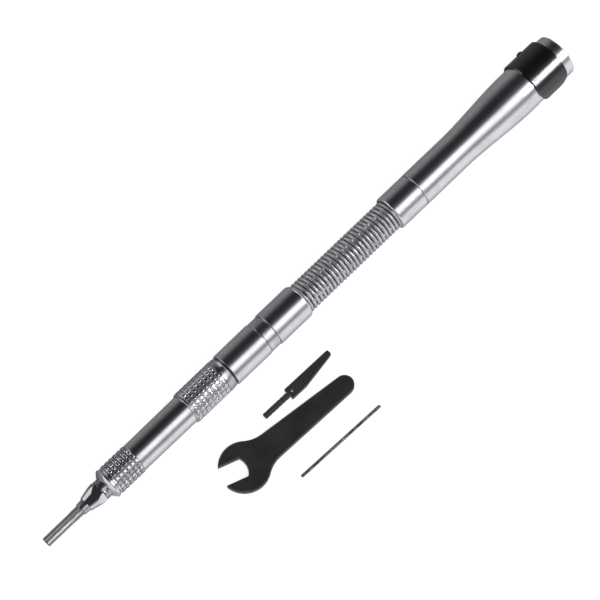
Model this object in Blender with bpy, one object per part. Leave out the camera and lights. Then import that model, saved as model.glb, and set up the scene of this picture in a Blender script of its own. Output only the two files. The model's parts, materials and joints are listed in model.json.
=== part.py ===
"""A slim chrome handpiece for a flexible shaft, with a coil-spring neck and a collet chuck.

Beside it lie the chuck's open-end wrench, its locking pin and a small tapered key.

The turned pieces are half outlines of (station, radius) points spun about the tool's axis. A station is
the distance from the tip of the blank in the chuck. All sizes are in millimetres until a mesh is made.
The tool lies nose down a little, on its front knurl and its rear clip, with the nose towards -X.
"""

import math

import bmesh
import bpy
from mathutils import Matrix, Vector

MM = 0.001

# Facets
ROUND_SIDES = 24
SMALL_SIDES = 16
INNER_SIDES = 14
PEG_SIDES = 10
SPRING_STEPS = 8
SPRING_WIRE_SIDES = 5
INNER_SPRING_STEPS = 7
INNER_SPRING_WIRE_SIDES = 4

# Fits between the pieces
FIT = 0.1
SEAM = 0.2
RUNNING_GAP = 0.3

# Chuck
BLANK_TIP_RADIUS = 1.44
SHANK_RADIUS = 1.5
BLANK_TIP_LENGTH = 9.7
BLANK_OUT = 12.6
BLANK_IN = 8.6
SHANK_FIT = 0.06
COLLET_NOSE_RADIUS = 1.78
COLLET_FLARE_RADIUS = 1.92
COLLET_NOSE_LENGTH = 2.1
COLLET_TAIL_RADIUS = 1.78
COLLET_SLOTS = 3
COLLET_SLOT_WIDTH = 0.3
NUT_NOSE_RADIUS = 2.25
NUT_REAR_RADIUS = 3.34
NUT_LENGTH = 5.0
NUT_ACROSS_FLATS = 5.6
NUT_LIP = 1.8

# Front spindle
STUB_RADIUS = 2.15
NECK_RADIUS = 3.0
NECK_SHOWS = 1.7
NECK_INSIDE = 1.4
PIN_HOLES = 4
PIN_HOLE_START_DEG = 20.0
PIN_HOLE_RADIUS = 0.6
PIN_HOLE_DEPTH = 0.9
SHOULDER_RADIUS = 2.5
JOURNAL_RADIUS = 1.9
CORE_CUP_RADIUS = 2.5
CORE_CUP_LENGTH = 5.0

# Grip, from the nose to the neck
CAP_LENGTH = 1.8
CAP_FACE_RADIUS = 3.5
CAP_RADIUS = 4.6
CAP_CHAMFER = 1.0
CAP_GROOVE = 0.25
CAP_TENON = 1.5
GRIP_BORE = 4.0
BARREL_LENGTH = 28.2
BARREL_FRONT_RADIUS = 4.38
BARREL_REAR_RADIUS = 4.5
FRONT_KNURL_RIM = 0.4
FRONT_KNURL_PITCH = 1.42
FRONT_KNURL_ROWS = 6
FRONT_KNURL_AROUND = 20
FRONT_KNURL_GROOVE = 4.33
FRONT_KNURL_HEIGHT = 0.33
TENON_RADIUS = 4.3
BARREL_TENON = 8.8
SLEEVE_LENGTH = 14.7
SLEEVE_RIM = 0.5
SLEEVE_KNURL_PITCH = 1.48
SLEEVE_KNURL_ROWS = 8
SLEEVE_KNURL_AROUND = 24
SLEEVE_KNURL_GROOVE = 4.76
SLEEVE_KNURL_HEIGHT = 0.34
SLEEVE_RADIUS = 5.05
SLEEVE_REAR_RADIUS = 4.85
SLEEVE_GROOVE_WIDTH = 0.7
MID_GROOVE_RADIUS = 4.62
MID_LENGTH = 12.5
MID_FRONT_RADIUS = 5.12
MID_REAR_RADIUS = 5.17
MID_BORE = 2.9
MID_TENON = 5.9
COLLAR_LENGTH = 3.4
COLLAR_RADIUS = 5.0
COLLAR_TENON = 4.9
FERRULE_RADIUS = 5.26
FERRULE_LENGTH = 12.1
FERRULE_CHAMFER = 0.65

# Spring neck
NECK_LENGTH = 35.4
SPRING_RADIUS = 4.68
SPRING_WIRE = 0.5
SPRING_PITCH = 1.28
SPRING_SEAT = 2.6
INNER_SPRING_RADIUS = 3.4
INNER_SPRING_WIRE = 0.36
INNER_SPRING_PITCH = 3.0
INNER_SPRING_SEAT = 4.2
FERRULE_WEB = 2.0
CORE_RADIUS = 1.5
CORE_PLUG = 3.2

# Handle, from the neck to the mouth
REAR_FERRULE_RADIUS = 5.34
REAR_FERRULE_LENGTH = 9.7
REAR_FERRULE_CHAMFER = 0.3
HANDLE_TENON = 3.3
HANDLE_LENGTH = 58.2
HANDLE_NECK_RADIUS = 5.38
HANDLE_RADIUS = 6.7
FLARE_START = 15.7
FLARE_LENGTH = 25.4
FLARE_STEPS = 7
CLIP_SEAT_LENGTH = 14.2
CLIP_SEAT_RADIUS = 6.6
MOUTH_FILLET = 0.5
MOUTH_FILLET_STEPS = 3
SOCKET_DEPTH = 24.0
SOCKET_RADIUS = 4.8
BUSH_WALL = 0.8

# Rear drive
DRIVE_CUP_RADIUS = 3.0
DRIVE_CUP_LENGTH = 9.0
DRIVE_BORE_RADIUS = 1.6
DRIVE_BORE_DEPTH = 7.0
KEY_SLOT_WIDTH = 1.2
KEY_SLOT_DEPTH = 5.0

# Ball bearings
BEARING_WIDTH = 3.0
BEARING_LIP = 0.62
BALL_RADIUS = 0.5
BALL_COUNT = 6
BALL_GAP = 0.1
CAGE_SIDES = 2 * BALL_COUNT
CAGE_WIDTH = 1.3
CAGE_THICKNESS = 0.3
BEARING_SETBACK = 1.0
SPACER_WALL = 0.4
WASHER_THICKNESS = 0.2
WASHER_WAVE = 0.25
WASHER_WAVES = 3
WASHER_WIDTH = 0.8
LOCK_RING_WIDTH = 2.0
LOCK_RING_WALL = 0.9

# Spring clip and its lock pin. Clip angles are about the axis, from the side that faces up.
CLIP_WIDTH = 10.6
CLIP_THICKNESS = 0.78
CLIP_STEP_DEG = 10.0
CLIP_BAND_START_DEG = -210.0
CLIP_BAND_END_DEG = 40.0
CLIP_TONGUE_DEG = 37.0
CLIP_TONGUE_STEPS = 6
CLIP_FRONT_CUT = 3.2
CLIP_REAR_CUT = 3.6
LOCK_PIN_RADIUS = 1.0
LOCK_PIN_NOSE = 0.3
LOCK_PIN_HEAD = 0.45
LOCK_PIN_CROWN = 0.14
LOCK_PIN_CROWN_RADIUS = 0.75
LOCK_PIN_TOP_RADIUS = 0.3
LOCK_PIN_STATION = 5.8
LOCK_PIN_DEG = -90.0

# How the tool lies
LIE_ROLL_DEG = 14.5

# Open-end wrench
WRENCH_THICKNESS = 2.0
WRENCH_HEAD_RADIUS = 7.2
WRENCH_JAW_GAP = 0.1
WRENCH_JAW_SKEW_DEG = 15.5
WRENCH_JAW_FLOOR = 0.2
WRENCH_JAW_SAG = 0.9
WRENCH_HANDLE_LENGTH = 38.4
WRENCH_NECK_HALF = 4.4
WRENCH_END_HALF = 2.7
WRENCH_FILLET = 9.0
WRENCH_BEVEL = 0.15
WRENCH_HEAD_STEPS = 10
WRENCH_FILLET_STEPS = 5
WRENCH_END_STEPS = 8
WRENCH_JAW_STEPS = 6
WRENCH_PLACE = (52.25, -21.85)
WRENCH_TURN_DEG = -4.5

# Locking pin
PIN_RADIUS = 0.45
PIN_LENGTH = 29.35
PIN_CHAMFER = 0.12
PIN_PLACE = (61.24, -34.5)
PIN_TURN_DEG = -2.0

# Tapered key
KEY_THICKNESS = 1.7
KEY_SHANK_RADIUS = 0.88
KEY_SHANK_LENGTH = 9.0
KEY_RIBS = 7
KEY_RIB_DEPTH = 0.1
KEY_RIB_SHARE = 0.5
KEY_WIDTH = 3.4
KEY_PARALLEL = 5.2
KEY_LENGTH = 16.4
KEY_TIP_WIDTH = 1.6
KEY_TIP_ROUND = 0.35
KEY_HOLE_RADIUS = 0.4
KEY_HOLE_BACK = 1.3
KEY_PLACE = (66.3, -15.55)
KEY_TURN_DEG = -1.0

# Stations along the axis, worked out from the lengths
X_COLLET = BLANK_OUT
X_NUT = X_COLLET + COLLET_NOSE_LENGTH
X_NECK = X_NUT + NUT_LENGTH + SEAM
X_CAP = X_NECK + NECK_SHOWS
X_NECK_END = X_CAP + NECK_INSIDE
X_BARREL = X_CAP + CAP_LENGTH + SEAM
X_SLEEVE = X_BARREL + BARREL_LENGTH
X_BARREL_END = X_SLEEVE + BARREL_TENON
X_MID = X_SLEEVE + SLEEVE_LENGTH + SLEEVE_GROOVE_WIDTH
X_COLLAR = X_MID + MID_LENGTH + SEAM
X_FERRULE = X_COLLAR + COLLAR_LENGTH + SEAM
X_NECK_FRONT = X_FERRULE + FERRULE_LENGTH
X_PIVOT = X_NECK_FRONT + NECK_LENGTH / 2
X_REAR_FERRULE = X_NECK_FRONT + NECK_LENGTH
X_HANDLE = X_REAR_FERRULE + REAR_FERRULE_LENGTH + SEAM
X_END = X_HANDLE + HANDLE_LENGTH
X_CLIP_SEAT = X_END - CLIP_SEAT_LENGTH
X_CLIP = X_CLIP_SEAT + SEAM
X_SOCKET = X_END - SOCKET_DEPTH
X_NOSE_BEARING = X_BARREL + CAP_TENON + SEAM
X_MID_BEARING = X_BARREL_END - BEARING_SETBACK - BEARING_WIDTH
X_CORE_CUP = X_FERRULE - CORE_CUP_LENGTH
X_REAR_BEARING = X_HANDLE + FIT + BEARING_SETBACK
X_REAR_DRIVE = X_HANDLE - HANDLE_TENON
X_DRIVE_CUP = X_SOCKET - DRIVE_CUP_LENGTH - SEAM

# Radii and slopes that follow from other sizes
TENON_BORE = TENON_RADIUS + FIT
SPRING_BORE = SPRING_RADIUS + FIT
WEB_BORE = INNER_SPRING_RADIUS + FIT
RACE_OUTER = GRIP_BORE - FIT
RACE_BORE = JOURNAL_RADIUS + FIT
BALL_CIRCLE = (RACE_OUTER + RACE_BORE) / 2
BUSH_OUTER = SOCKET_RADIUS + BUSH_WALL
CLIP_INNER = CLIP_SEAT_RADIUS + FIT
CLIP_OUTER = CLIP_INNER + CLIP_THICKNESS
KNURL_PEAK = FRONT_KNURL_GROOVE + FRONT_KNURL_HEIGHT
WRENCH_END = WRENCH_HANDLE_LENGTH - WRENCH_END_HALF
WRENCH_LEAN = math.asin((WRENCH_NECK_HALF - WRENCH_END_HALF) / WRENCH_END)
SHARP_EDGE = math.radians(32)
MERGE = 1e-7


def clear_scene():
    for thing in list(bpy.data.objects):
        bpy.data.objects.remove(thing)


def material(name, color, roughness, metallic):
    """A plain Principled finish."""
    made = bpy.data.materials.new(name)
    made.use_nodes = True
    shader = made.node_tree.nodes["Principled BSDF"]
    shader.inputs["Base Color"].default_value = (*color, 1.0)
    shader.inputs["Roughness"].default_value = roughness
    shader.inputs["Metallic"].default_value = metallic
    return made


def chrome(name):
    return material(name, (0.74, 0.74, 0.76), 0.12, 1.0)


def steel(name):
    return material(name, (0.56, 0.56, 0.58), 0.3, 1.0)


def brass(name):
    return material(name, (0.66, 0.5, 0.22), 0.32, 1.0)


def black_oxide(name):
    return material(name, (0.035, 0.038, 0.038), 0.42, 0.4)


def empty(name, parent=None, place=(0, 0, 0), turn=(0, 0, 0)):
    """A bare pivot that carries pieces."""
    made = bpy.data.objects.new(name, None)
    bpy.context.scene.collection.objects.link(made)
    made.parent = parent
    made.location = Vector(place) * MM
    made.rotation_euler = turn
    return made


def station_of(carrier):
    """How far along the axis a pivot sits, adding up those that carry it."""
    along = 0.0
    while carrier is not None and carrier.parent is not None:
        along += carrier.location.x / MM
        carrier = carrier.parent
    return along


def piece(name, bm, finish, parent, station=0.0):
    """A named object from a mesh whose origin lies on the axis at its station."""
    mesh = bpy.data.meshes.new(name)
    bm.to_mesh(mesh)
    bm.free()
    made = bpy.data.objects.new(name, mesh)
    bpy.context.scene.collection.objects.link(made)
    mesh.materials.append(finish(name))
    made.parent = parent
    if station:
        made.location.x = (station - station_of(parent)) * MM
    smooth(mesh)
    return made


def smooth(mesh):
    mesh.shade_smooth()
    mesh.set_sharp_from_angle(angle=SHARP_EDGE)


def lathe(outline, sides, start=0.0):
    """A closed half outline of (station, radius) points spun about the axis."""
    bm = bmesh.new()
    first = Matrix.Rotation(start, 3, "X")
    points = [bm.verts.new(first @ Vector((x, 0, r)) * MM) for x, r in outline]
    pairs = zip(range(len(outline)), [*range(1, len(outline)), 0])
    off_axis = [(a, b) for a, b in pairs if outline[a][1] > 0 or outline[b][1] > 0]
    edges = [bm.edges.new((points[a], points[b])) for a, b in off_axis]
    bmesh.ops.spin(
        bm,
        geom=points + edges,
        axis=(1, 0, 0),
        cent=(0, 0, 0),
        angle=math.tau,
        steps=sides,
        use_merge=True,
    )
    bmesh.ops.remove_doubles(bm, verts=bm.verts, dist=MERGE)
    bmesh.ops.recalc_face_normals(bm, faces=bm.faces)
    return bm


def ring(x0, x1, inner, outer):
    """The half outline of a plain tube."""
    return [(x0, inner), (x1, inner), (x1, outer), (x0, outer)]


def prism(outline, low, high, bevel=0.0):
    """A flat plate: an outline of (x, y) points raised from low to high."""
    bm = bmesh.new()
    corners = [bm.verts.new((x * MM, y * MM, low * MM)) for x, y in outline]
    floor = bm.faces.new(corners)
    raised = bmesh.ops.extrude_face_region(bm, geom=[floor])
    top = [v for v in raised["geom"] if isinstance(v, bmesh.types.BMVert)]
    bmesh.ops.translate(bm, verts=top, vec=(0, 0, (high - low) * MM))
    bmesh.ops.recalc_face_normals(bm, faces=bm.faces)
    if bevel:
        rims = [e for e in bm.edges if abs(e.verts[0].co.z - e.verts[1].co.z) < MERGE]
        bmesh.ops.bevel(bm, geom=rims, offset=bevel * MM, segments=1, affect="EDGES")
    return bm


def cutter(bm):
    """A guide that shapes another piece and is then taken away."""
    mesh = bpy.data.meshes.new("cutter")
    bm.to_mesh(mesh)
    bm.free()
    made = bpy.data.objects.new("cutter", mesh)
    bpy.context.scene.collection.objects.link(made)
    made.display_type = "WIRE"
    made.hide_render = True
    return made


def shape(target, guide, operation="DIFFERENCE"):
    """Cuts, keeps or adds the guide, bakes the result into the piece and removes the guide."""
    guide.parent = target.parent
    guide.matrix_basis = target.matrix_basis @ guide.matrix_basis
    change = target.modifiers.new(operation, "BOOLEAN")
    change.operation = operation
    change.object = guide
    bpy.context.view_layer.update()
    seen = target.evaluated_get(bpy.context.evaluated_depsgraph_get())
    result = bpy.data.meshes.new_from_object(seen)
    target.modifiers.clear()
    target.data = result
    bpy.data.objects.remove(guide)
    smooth(result)


def box(low, high):
    """A box between two corners."""
    bm = bmesh.new()
    bmesh.ops.create_cube(bm, size=1.0)
    low, high = Vector(low), Vector(high)
    size = Matrix.Diagonal((*((high - low) * MM), 1.0))
    place = Matrix.Translation((low + high) / 2 * MM)
    bmesh.ops.transform(bm, matrix=place @ size, verts=bm.verts)
    return bm


def about_axis(bm, degrees):
    """Turns a mesh about the tool's axis."""
    turn = Matrix.Rotation(math.radians(degrees), 4, "X")
    bmesh.ops.transform(bm, matrix=turn, verts=bm.verts)
    return bm


def upright(outline, sides, along, degrees):
    """A turned peg that stands out of the axis at a station, on the side given by its angle."""
    bm = lathe(outline, sides)
    stand = Matrix.Rotation(-math.pi / 2, 4, "Y")
    bmesh.ops.transform(bm, matrix=stand, verts=bm.verts)
    about_axis(bm, degrees)
    bmesh.ops.translate(bm, verts=bm.verts, vec=(along * MM, 0, 0))
    return bm


def knurl_rings(first, pitch, rows, groove):
    """The ring points of a knurled band, two to each row of points."""
    return [(first + step * pitch / 2, groove) for step in range(2 * rows + 1)]


def raise_knurl(bm, first, pitch, rows, around, groove, height):
    """Lifts every second point of every second ring, which gives rows of four-sided pyramids."""
    for vert in bm.verts:
        radius = math.hypot(vert.co.y, vert.co.z) / MM
        step = round((vert.co.x / MM - first) / (pitch / 2))
        spoke = round(math.atan2(vert.co.y, vert.co.z) * around / math.pi)
        on_band = abs(radius - groove) < FIT / 10 and 0 < step < 2 * rows
        if on_band and step % 2 and spoke % 2:
            vert.co.y *= (groove + height) / groove
            vert.co.z *= (groove + height) / groove


def coil(radius, wire, pitch, length, hand, steps, wire_sides):
    """A round-wire spring wound about the axis, from 0 to length, between the wire's own ends."""
    bm = bmesh.new()
    middle = radius - wire
    turns = (length - 2 * wire) / pitch
    count = max(2, round(turns * steps))
    loops = []
    for index in range(count + 1):
        along = wire + (length - 2 * wire) * index / count
        angle = hand * math.tau * turns * index / count
        outward = Vector((0, -math.sin(angle), math.cos(angle)))
        loop = []
        for side in range(wire_sides):
            about = math.tau * side / wire_sides
            reach = middle + wire * math.cos(about)
            lift = Vector((along + wire * math.sin(about), 0, 0))
            loop.append(bm.verts.new((outward * reach + lift) * MM))
        loops.append(loop)
    for before, after in zip(loops, loops[1:]):
        for side in range(wire_sides):
            following = (side + 1) % wire_sides
            corners = (before[side], before[following], after[following], after[side])
            bm.faces.new(corners)
    bm.faces.new(loops[0])
    bm.faces.new(loops[-1])
    bmesh.ops.recalc_face_normals(bm, faces=bm.faces)
    return bm


def bearing(name, station, carrier, spindle, cage_carrier):
    """A small ball bearing: two grooved races, and a cage that holds its balls."""
    middle = BEARING_WIDTH / 2
    edge = BALL_RADIUS + BALL_GAP
    inner_lip = RACE_BORE + BEARING_LIP
    outer_lip = RACE_OUTER - BEARING_LIP
    inner = [
        (0, RACE_BORE),
        (BEARING_WIDTH, RACE_BORE),
        (BEARING_WIDTH, inner_lip),
        (middle + edge, inner_lip),
        (middle, BALL_CIRCLE - edge),
        (middle - edge, inner_lip),
        (0, inner_lip),
    ]
    outer = [
        (0, outer_lip),
        (middle - edge, outer_lip),
        (middle, BALL_CIRCLE + edge),
        (middle + edge, outer_lip),
        (BEARING_WIDTH, outer_lip),
        (BEARING_WIDTH, RACE_OUTER),
        (0, RACE_OUTER),
    ]
    piece(name + "_inner_race", lathe(inner, INNER_SIDES), steel, spindle, station)
    piece(name + "_outer_race", lathe(outer, INNER_SIDES), steel, carrier, station)
    half = CAGE_WIDTH / 2
    wall = CAGE_THICKNESS / 2
    band = ring(middle - half, middle + half, BALL_CIRCLE - wall, BALL_CIRCLE + wall)
    cage = piece(name + "_ball_cage", lathe(band, CAGE_SIDES), brass, cage_carrier, station)
    balls = bmesh.new()
    for index in range(BALL_COUNT):
        made = bmesh.ops.create_icosphere(balls, subdivisions=1, radius=BALL_RADIUS * MM)
        angle = math.tau * (2 * index + 0.5) / CAGE_SIDES
        spot = Vector((middle, BALL_CIRCLE * math.sin(angle), BALL_CIRCLE * math.cos(angle)))
        bmesh.ops.translate(balls, verts=made["verts"], vec=spot * MM)
    shape(cage, cutter(balls), "UNION")


def make_chuck(spindle, nut, blank):
    """The blank, the split collet that grips it and the nut that closes the collet."""
    end = BLANK_OUT + BLANK_IN
    tip = [
        (0, 0),
        (0, BLANK_TIP_RADIUS - FIT),
        (FIT, BLANK_TIP_RADIUS),
        (BLANK_TIP_LENGTH, BLANK_TIP_RADIUS),
        (BLANK_TIP_LENGTH, SHANK_RADIUS),
        (end, SHANK_RADIUS),
        (end, 0),
    ]
    piece("blank_shank", lathe(tip, SMALL_SIDES), steel, blank)

    nose = X_NUT - X_COLLET
    tail = X_CAP + SEAM - X_COLLET
    seat = nose + NUT_LIP
    bore = SHANK_RADIUS + SHANK_FIT
    outline = [
        (0, bore),
        (tail, bore),
        (tail, COLLET_TAIL_RADIUS),
        (seat + 2 * SEAM, COLLET_TAIL_RADIUS),
        (seat, COLLET_FLARE_RADIUS),
        (nose, COLLET_FLARE_RADIUS),
        (SEAM, COLLET_NOSE_RADIUS),
        (0, COLLET_NOSE_RADIUS - FIT / 2),
    ]
    collet = piece("collet", lathe(outline, SMALL_SIDES), steel, spindle, X_COLLET)
    slot_end = X_NECK - X_COLLET
    for index in range(COLLET_SLOTS):
        half = COLLET_SLOT_WIDTH / 2
        blade = box((-1, -half, SHANK_RADIUS / 2), (slot_end, half, NUT_REAR_RADIUS))
        shape(collet, cutter(about_axis(blade, 360 * index / COLLET_SLOTS)))

    thread = STUB_RADIUS + FIT
    mouth = COLLET_FLARE_RADIUS + FIT
    cone = [
        (0, mouth),
        (NUT_LIP, mouth),
        (NUT_LIP + FIT, thread),
        (NUT_LENGTH, thread),
        (NUT_LENGTH, NUT_REAR_RADIUS - SEAM),
        (NUT_LENGTH - SEAM, NUT_REAR_RADIUS),
        (0, NUT_NOSE_RADIUS),
    ]
    body = piece("collet_nut", lathe(cone, ROUND_SIDES), chrome, nut, X_NUT)
    corner = NUT_ACROSS_FLATS / math.sqrt(3)
    six = [(-1, 0), (NUT_LENGTH + 1, 0), (NUT_LENGTH + 1, corner), (-1, corner)]
    shape(body, cutter(lathe(six, 6, math.radians(30))), "INTERSECT")


def make_front_spindle(spindle):
    """The driven spindle: a threaded stub for the nut, a neck with pin holes, and a long journal."""
    stub = X_NUT + NUT_LIP + 2 * SEAM
    bore = COLLET_TAIL_RADIUS + FIT / 2
    bore_end = X_CAP + 2 * SEAM
    shoulder_end = X_NOSE_BEARING - FIT
    cup = CORE_RADIUS + FIT
    outline = [
        (stub, bore),
        (bore_end, bore),
        (bore_end + bore, 0),
        (X_FERRULE - CORE_PLUG - SEAM, 0),
        (X_FERRULE - CORE_PLUG - SEAM, cup),
        (X_FERRULE, cup),
        (X_FERRULE, CORE_CUP_RADIUS),
        (X_CORE_CUP, CORE_CUP_RADIUS),
        (X_CORE_CUP - FIT, JOURNAL_RADIUS),
        (shoulder_end, JOURNAL_RADIUS),
        (shoulder_end, SHOULDER_RADIUS),
        (X_NECK_END, SHOULDER_RADIUS),
        (X_NECK_END, NECK_RADIUS),
        (X_NECK, NECK_RADIUS),
        (X_NECK, STUB_RADIUS),
        (stub, STUB_RADIUS),
    ]
    moved = [(x - X_NECK, r) for x, r in outline]
    body = piece("front_spindle", lathe(moved, SMALL_SIDES), steel, spindle, X_NECK)
    low = NECK_RADIUS - PIN_HOLE_DEPTH
    hole = [(low, 0), (NECK_RADIUS + 1, 0), (NECK_RADIUS + 1, PIN_HOLE_RADIUS), (low, PIN_HOLE_RADIUS)]
    for index in range(PIN_HOLES):
        degrees = PIN_HOLE_START_DEG + 360 * index / PIN_HOLES
        shape(body, cutter(upright(hole, PEG_SIDES, NECK_SHOWS / 2, degrees)))


def make_grip(grip):
    """The five outer shells of the grip, from the nose cap to the front ferrule."""
    web = NECK_RADIUS + FIT
    cap = [
        (0, web),
        (CAP_LENGTH + SEAM + CAP_TENON, web),
        (CAP_LENGTH + SEAM + CAP_TENON, RACE_OUTER),
        (CAP_LENGTH, RACE_OUTER),
        (CAP_LENGTH, CAP_RADIUS - CAP_GROOVE),
        (CAP_LENGTH - CAP_GROOVE, CAP_RADIUS - CAP_GROOVE),
        (CAP_LENGTH - CAP_GROOVE, CAP_RADIUS),
        (CAP_CHAMFER, CAP_RADIUS),
        (0, CAP_FACE_RADIUS),
    ]
    piece("nose_cap", lathe(cap, ROUND_SIDES), chrome, grip, X_CAP)

    knurl = (FRONT_KNURL_RIM, FRONT_KNURL_PITCH, FRONT_KNURL_ROWS)
    knurl_end = FRONT_KNURL_RIM + FRONT_KNURL_PITCH * FRONT_KNURL_ROWS
    long = BARREL_LENGTH + BARREL_TENON
    barrel = [
        (long, GRIP_BORE),
        (long, TENON_RADIUS),
        (BARREL_LENGTH, TENON_RADIUS),
        (BARREL_LENGTH, BARREL_REAR_RADIUS),
        (knurl_end + FIT, BARREL_FRONT_RADIUS),
        *reversed(knurl_rings(*knurl, FRONT_KNURL_GROOVE)),
        (0, BARREL_FRONT_RADIUS),
        (0, GRIP_BORE),
    ]
    bm = lathe(barrel, 2 * FRONT_KNURL_AROUND)
    raise_knurl(bm, *knurl, FRONT_KNURL_AROUND, FRONT_KNURL_GROOVE, FRONT_KNURL_HEIGHT)
    piece("front_barrel", bm, chrome, grip, X_BARREL)

    knurl = (SLEEVE_RIM, SLEEVE_KNURL_PITCH, SLEEVE_KNURL_ROWS)
    knurl_end = SLEEVE_RIM + SLEEVE_KNURL_PITCH * SLEEVE_KNURL_ROWS
    sleeve = [
        (SLEEVE_LENGTH, TENON_BORE),
        (SLEEVE_LENGTH, SLEEVE_REAR_RADIUS),
        (knurl_end + 2 * SEAM, SLEEVE_RADIUS),
        *reversed(knurl_rings(*knurl, SLEEVE_KNURL_GROOVE)),
        (SEAM, SLEEVE_RADIUS - FIT),
        (0, SLEEVE_RADIUS - 2 * FIT),
        (0, TENON_BORE),
    ]
    bm = lathe(sleeve, 2 * SLEEVE_KNURL_AROUND)
    raise_knurl(bm, *knurl, SLEEVE_KNURL_AROUND, SLEEVE_KNURL_GROOVE, SLEEVE_KNURL_HEIGHT)
    piece("grip_sleeve", bm, chrome, grip, X_SLEEVE + SEAM / 2)

    front = X_BARREL_END + SEAM - X_MID
    floor = SEAM / 2 + SEAM - SLEEVE_GROOVE_WIDTH
    mid = [
        (front, MID_BORE),
        (MID_LENGTH - MID_TENON, MID_BORE),
        (MID_LENGTH - MID_TENON, TENON_BORE),
        (MID_LENGTH, TENON_BORE),
        (MID_LENGTH, MID_REAR_RADIUS - FIT),
        (MID_LENGTH - FIT, MID_REAR_RADIUS),
        (FIT, MID_FRONT_RADIUS),
        (0, MID_FRONT_RADIUS - FIT),
        (0, MID_GROOVE_RADIUS),
        (floor, MID_GROOVE_RADIUS),
        (floor, TENON_RADIUS),
        (front, TENON_RADIUS),
    ]
    piece("mid_barrel", lathe(mid, ROUND_SIDES), chrome, grip, X_MID)

    collar = [
        (SEAM - COLLAR_TENON, MID_BORE),
        (COLLAR_LENGTH + COLLAR_TENON, MID_BORE),
        (COLLAR_LENGTH + COLLAR_TENON, TENON_RADIUS),
        (COLLAR_LENGTH, TENON_RADIUS),
        (COLLAR_LENGTH, COLLAR_RADIUS),
        (0, COLLAR_RADIUS),
        (0, TENON_RADIUS),
        (SEAM - COLLAR_TENON, TENON_RADIUS),
    ]
    piece("lock_collar", lathe(collar, ROUND_SIDES), chrome, grip, X_COLLAR)

    pocket = FERRULE_LENGTH - SPRING_SEAT - SEAM
    web_start = pocket - FERRULE_WEB
    ferrule = [
        (0, TENON_BORE),
        (web_start, TENON_BORE),
        (web_start, WEB_BORE),
        (pocket, WEB_BORE),
        (pocket, SPRING_BORE),
        (FERRULE_LENGTH, SPRING_BORE),
        (FERRULE_LENGTH, FERRULE_RADIUS - FERRULE_CHAMFER / 2),
        (FERRULE_LENGTH - FERRULE_CHAMFER, FERRULE_RADIUS),
        (FIT, FERRULE_RADIUS),
        (0, FERRULE_RADIUS - FIT),
    ]
    piece("front_ferrule", lathe(ferrule, ROUND_SIDES), chrome, grip, X_FERRULE)


def make_grip_insides(grip, spindle, nose_cage, mid_cage):
    """Two bearings held apart by a spacer tube and pressed together by a wavy washer."""
    bearing("nose_bearing", X_NOSE_BEARING, grip, spindle, nose_cage)
    bearing("mid_bearing", X_MID_BEARING, grip, spindle, mid_cage)
    start = X_NOSE_BEARING + BEARING_WIDTH + FIT
    length = X_MID_BEARING - FIT - start
    tube = ring(0, length, RACE_OUTER - SPACER_WALL, RACE_OUTER)
    piece("bearing_spacer", lathe(tube, INNER_SIDES), steel, grip, start)
    middle = (X_MID_BEARING + BEARING_WIDTH + X_BARREL_END + SEAM) / 2
    half = WASHER_THICKNESS / 2
    bm = lathe(ring(-half, half, RACE_OUTER - WASHER_WIDTH, RACE_OUTER), 2 * INNER_SIDES)
    for vert in bm.verts:
        about = math.atan2(vert.co.y, vert.co.z)
        vert.co.x += WASHER_WAVE * MM * math.cos(WASHER_WAVES * about)
    piece("wave_washer", bm, steel, grip, middle)


def make_neck(grip, spindle):
    """The two springs of the neck, wound opposite ways, and the flexible core inside them."""
    start = X_NECK_FRONT - SPRING_SEAT
    length = NECK_LENGTH + 2 * SPRING_SEAT
    bm = coil(SPRING_RADIUS, SPRING_WIRE, SPRING_PITCH, length, 1, SPRING_STEPS, SPRING_WIRE_SIDES)
    piece("outer_spring", bm, chrome, grip, start)
    start = X_NECK_FRONT - INNER_SPRING_SEAT
    length = NECK_LENGTH + 2 * INNER_SPRING_SEAT
    wire = (INNER_SPRING_RADIUS, INNER_SPRING_WIRE, INNER_SPRING_PITCH)
    bm = coil(*wire, length, -1, INNER_SPRING_STEPS, INNER_SPRING_WIRE_SIDES)
    piece("inner_spring", bm, steel, grip, start)
    start = X_FERRULE - CORE_PLUG
    length = X_REAR_DRIVE + CORE_PLUG - start
    core = [(0, 0), (0, CORE_RADIUS), (length, CORE_RADIUS), (length, 0)]
    piece("flexible_core", lathe(core, INNER_SIDES), steel, spindle, start)


def flare_radius(share):
    """The handle's outer radius along its flare, from the slim neck to the full width."""
    eased = share * share * (3 - 2 * share)
    return HANDLE_NECK_RADIUS + (HANDLE_RADIUS - HANDLE_NECK_RADIUS) * eased


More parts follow.
